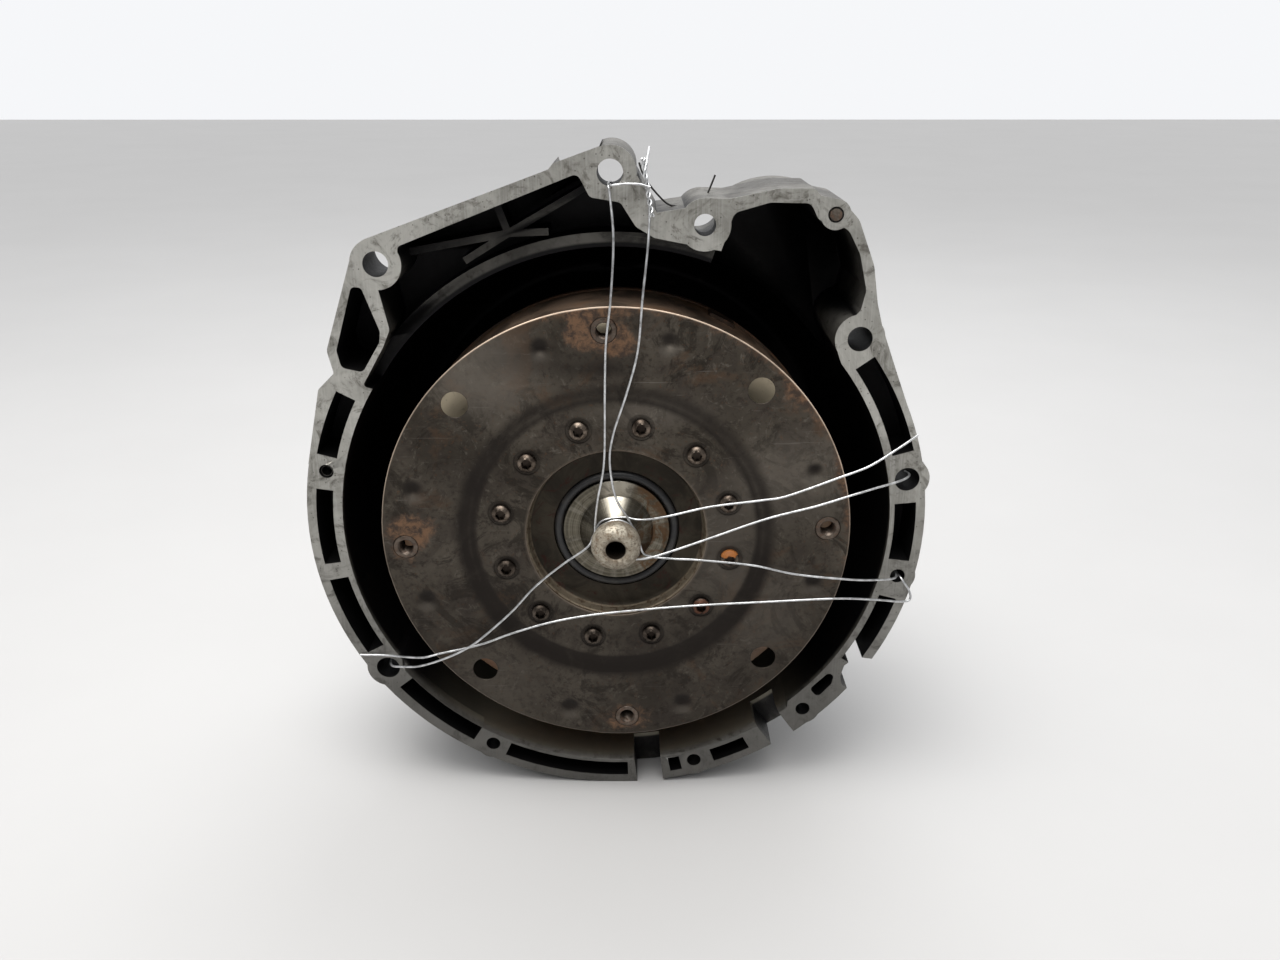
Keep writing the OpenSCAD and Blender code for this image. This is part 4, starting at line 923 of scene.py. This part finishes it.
f = Finish("galvanised wire", 0.9)
cloud = f.noise(160, 5, 0.65, 0.4)
tone = f.mix(f.rise(cloud, 0.35, 0.65), (0.46, 0.465, 0.47), (0.80, 0.81, 0.82))
tone = f.mix(f.rise(f.noise(90, 5, 0.7, 0.8, shift=1.4), 0.62, 0.74), tone, (0.22, 0.21, 0.20))
wire_bright = f.done(tone, f.span(cloud, 0.26, 0.46), f.noise(900, 3, 0.6), 0.00004)
for name, route in ROUTES.items():
    tube_points, tube_faces = sweep(through(route), WIRE_R, 10)
    fit(add_piece(name.replace("wire", "tie_wire"), tube_points * MM, tube_faces, 60),
        "housing", "galvanised_wire", wire_bright, name)

f = Finish("blackened wire", 0.6)
cloud = f.noise(200, 5, 0.65, 0.4)
wire_dark = f.done(f.mix(cloud, (0.02, 0.02, 0.022), (0.09, 0.085, 0.08)), f.span(cloud, 0.4, 0.6), cloud,
                   0.00004)

# two ends of older, blackened wire, 1.2 mm thick, that hang behind the top of the flange
OLD_WIRE_R = 0.6
tail_points, tail_faces = gather([
    sweep(through([(15, 20, 232), (17, 22, 226), (21, 25, 219), (31, 30, 208), (38, 33, 205.5),
                   (45, 35, 205)]), OLD_WIRE_R, 8),
    sweep(through([(55, 40, 208), (58, 41, 215), (61, 40, 223)]), OLD_WIRE_R, 8)])
fit(add_piece("old_wire_ends", tail_points * MM, tail_faces, 60), "housing", "galvanised_wire", wire_dark)


def twisted(middle, spread, turns):
    """Two strands wound round one line, each half a turn from the other."""
    line = through(middle)
    ahead = np.gradient(line, axis=0)
    ahead /= np.linalg.norm(ahead, axis=1)[:, None]
    side = np.cross(ahead, (0.0, 1.0, 0.0))
    side /= np.linalg.norm(side, axis=1)[:, None]
    up = np.cross(ahead, side)
    a = np.linspace(0, turns * 2 * np.pi, len(line))[:, None]
    off = spread * (side * np.cos(a) + up * np.sin(a))
    return gather([sweep(line + off, WIRE_R, 8), sweep(line - off, WIRE_R, 8)])


twist_points, twist_faces = twisted([(22.5, 7.5, 203), (21.5, 9.5, 208), (20.5, 11.0, 214),
                                     (19.5, 11.5, 221),
                                     (18.0, 12.0, 228), (17.5, 13.0, 235)], 0.95, 3.5)
fit(add_piece("tie_wire_twist", twist_points * MM, twist_faces, 60), "housing", "galvanised_wire",
    wire_bright)
link_points, link_faces = sweep(through([(-2, 20, 219.6), (-1.5, 12, 219.8), (2, 10.5, 220.5),
                                         (9, 11, 221), (16, 11.2, 220.5),
                                         (21.5, 10.5, 219)]), WIRE_R, 8)
fit(add_piece("tie_wire_link", link_points * MM, link_faces, 60), "housing", "galvanised_wire",
    wire_bright)

# ---------- Floor and light ----------
# A plain pale floor under the housing's lowest point, two soft lamps overhead and an even
# skylight from above. The floor and the lights are no part of the object.
low = cad_box[0]
reach = 9.0
floor_mesh = bpy.data.meshes.new("floor")
floor_corners = [(x * reach, y * reach, low.z) for x, y in ((-1, -1), (1, -1), (1, 1), (-1, 1))]
floor_mesh.from_pydata(floor_corners, [], [(0, 1, 2, 3)])
floor = bpy.data.objects.new("floor", floor_mesh)
bpy.context.scene.collection.objects.link(floor)
f = Finish("pale floor", 0.0)
floor_mesh.materials.append(f.done(f.mix(f.noise(3, 4, 0.6), (0.47, 0.465, 0.46), (0.51, 0.505, 0.50)),
                                   0.7))


def lamp(name, place, aim, size_x, size_y, power, tint=(1.0, 1.0, 1.0)):
    """A soft rectangular lamp that faces the aimed point."""
    light = bpy.data.lights.new(name, "AREA")
    light.shape, light.size, light.size_y = "RECTANGLE", size_x, size_y
    light.energy, light.color = power, tint
    thing = bpy.data.objects.new(name, light)
    bpy.context.scene.collection.objects.link(thing)
    thing.location = place
    thing.rotation_euler = (Vector(aim) - Vector(place)).to_track_quat("-Z", "Y").to_euler()


lamp("overhead lamp", (-0.35, -0.35, 1.7), (0.0, 0.0, 0.1), 1.5, 0.9, 26, (1.0, 0.985, 0.96))
lamp("rear overhead lamp", (0.4, 1.2, 1.8), (0.0, 0.2, 0.0), 1.6, 1.2, 16, (0.97, 0.985, 1.0))
sky = bpy.data.lights.new("skylight", "SUN")
sky.energy, sky.angle = 1.8, math.radians(55)
skylight = bpy.data.objects.new("skylight", sky)
bpy.context.scene.collection.objects.link(skylight)
skylight.rotation_euler = Vector((0.12, 0.42, -1.0)).to_track_quat("-Z", "Y").to_euler()
# the room is white behind the housing and dim behind the person who looks at it
world = bpy.data.worlds.new("studio")
world.use_nodes = True
nodes, links = world.node_tree.nodes, world.node_tree.links
split = nodes.new("ShaderNodeSeparateXYZ")
links.new(nodes.new("ShaderNodeTexCoord").outputs["Generated"], split.inputs[0])
back = nodes.new("ShaderNodeMapRange")
back.interpolation_type = "SMOOTHSTEP"
for key, value in (("From Min", -0.5), ("From Max", 0.6), ("To Min", 0.20), ("To Max", 0.95)):
    back.inputs[key].default_value = value
links.new(split.outputs["Y"], back.inputs["Value"])
links.new(back.outputs["Result"], nodes["Background"].inputs["Strength"])
nodes["Background"].inputs["Color"].default_value = (0.97, 0.98, 1.0, 1)
bpy.context.scene.world = world
bpy.context.scene.view_settings.view_transform = "Standard"
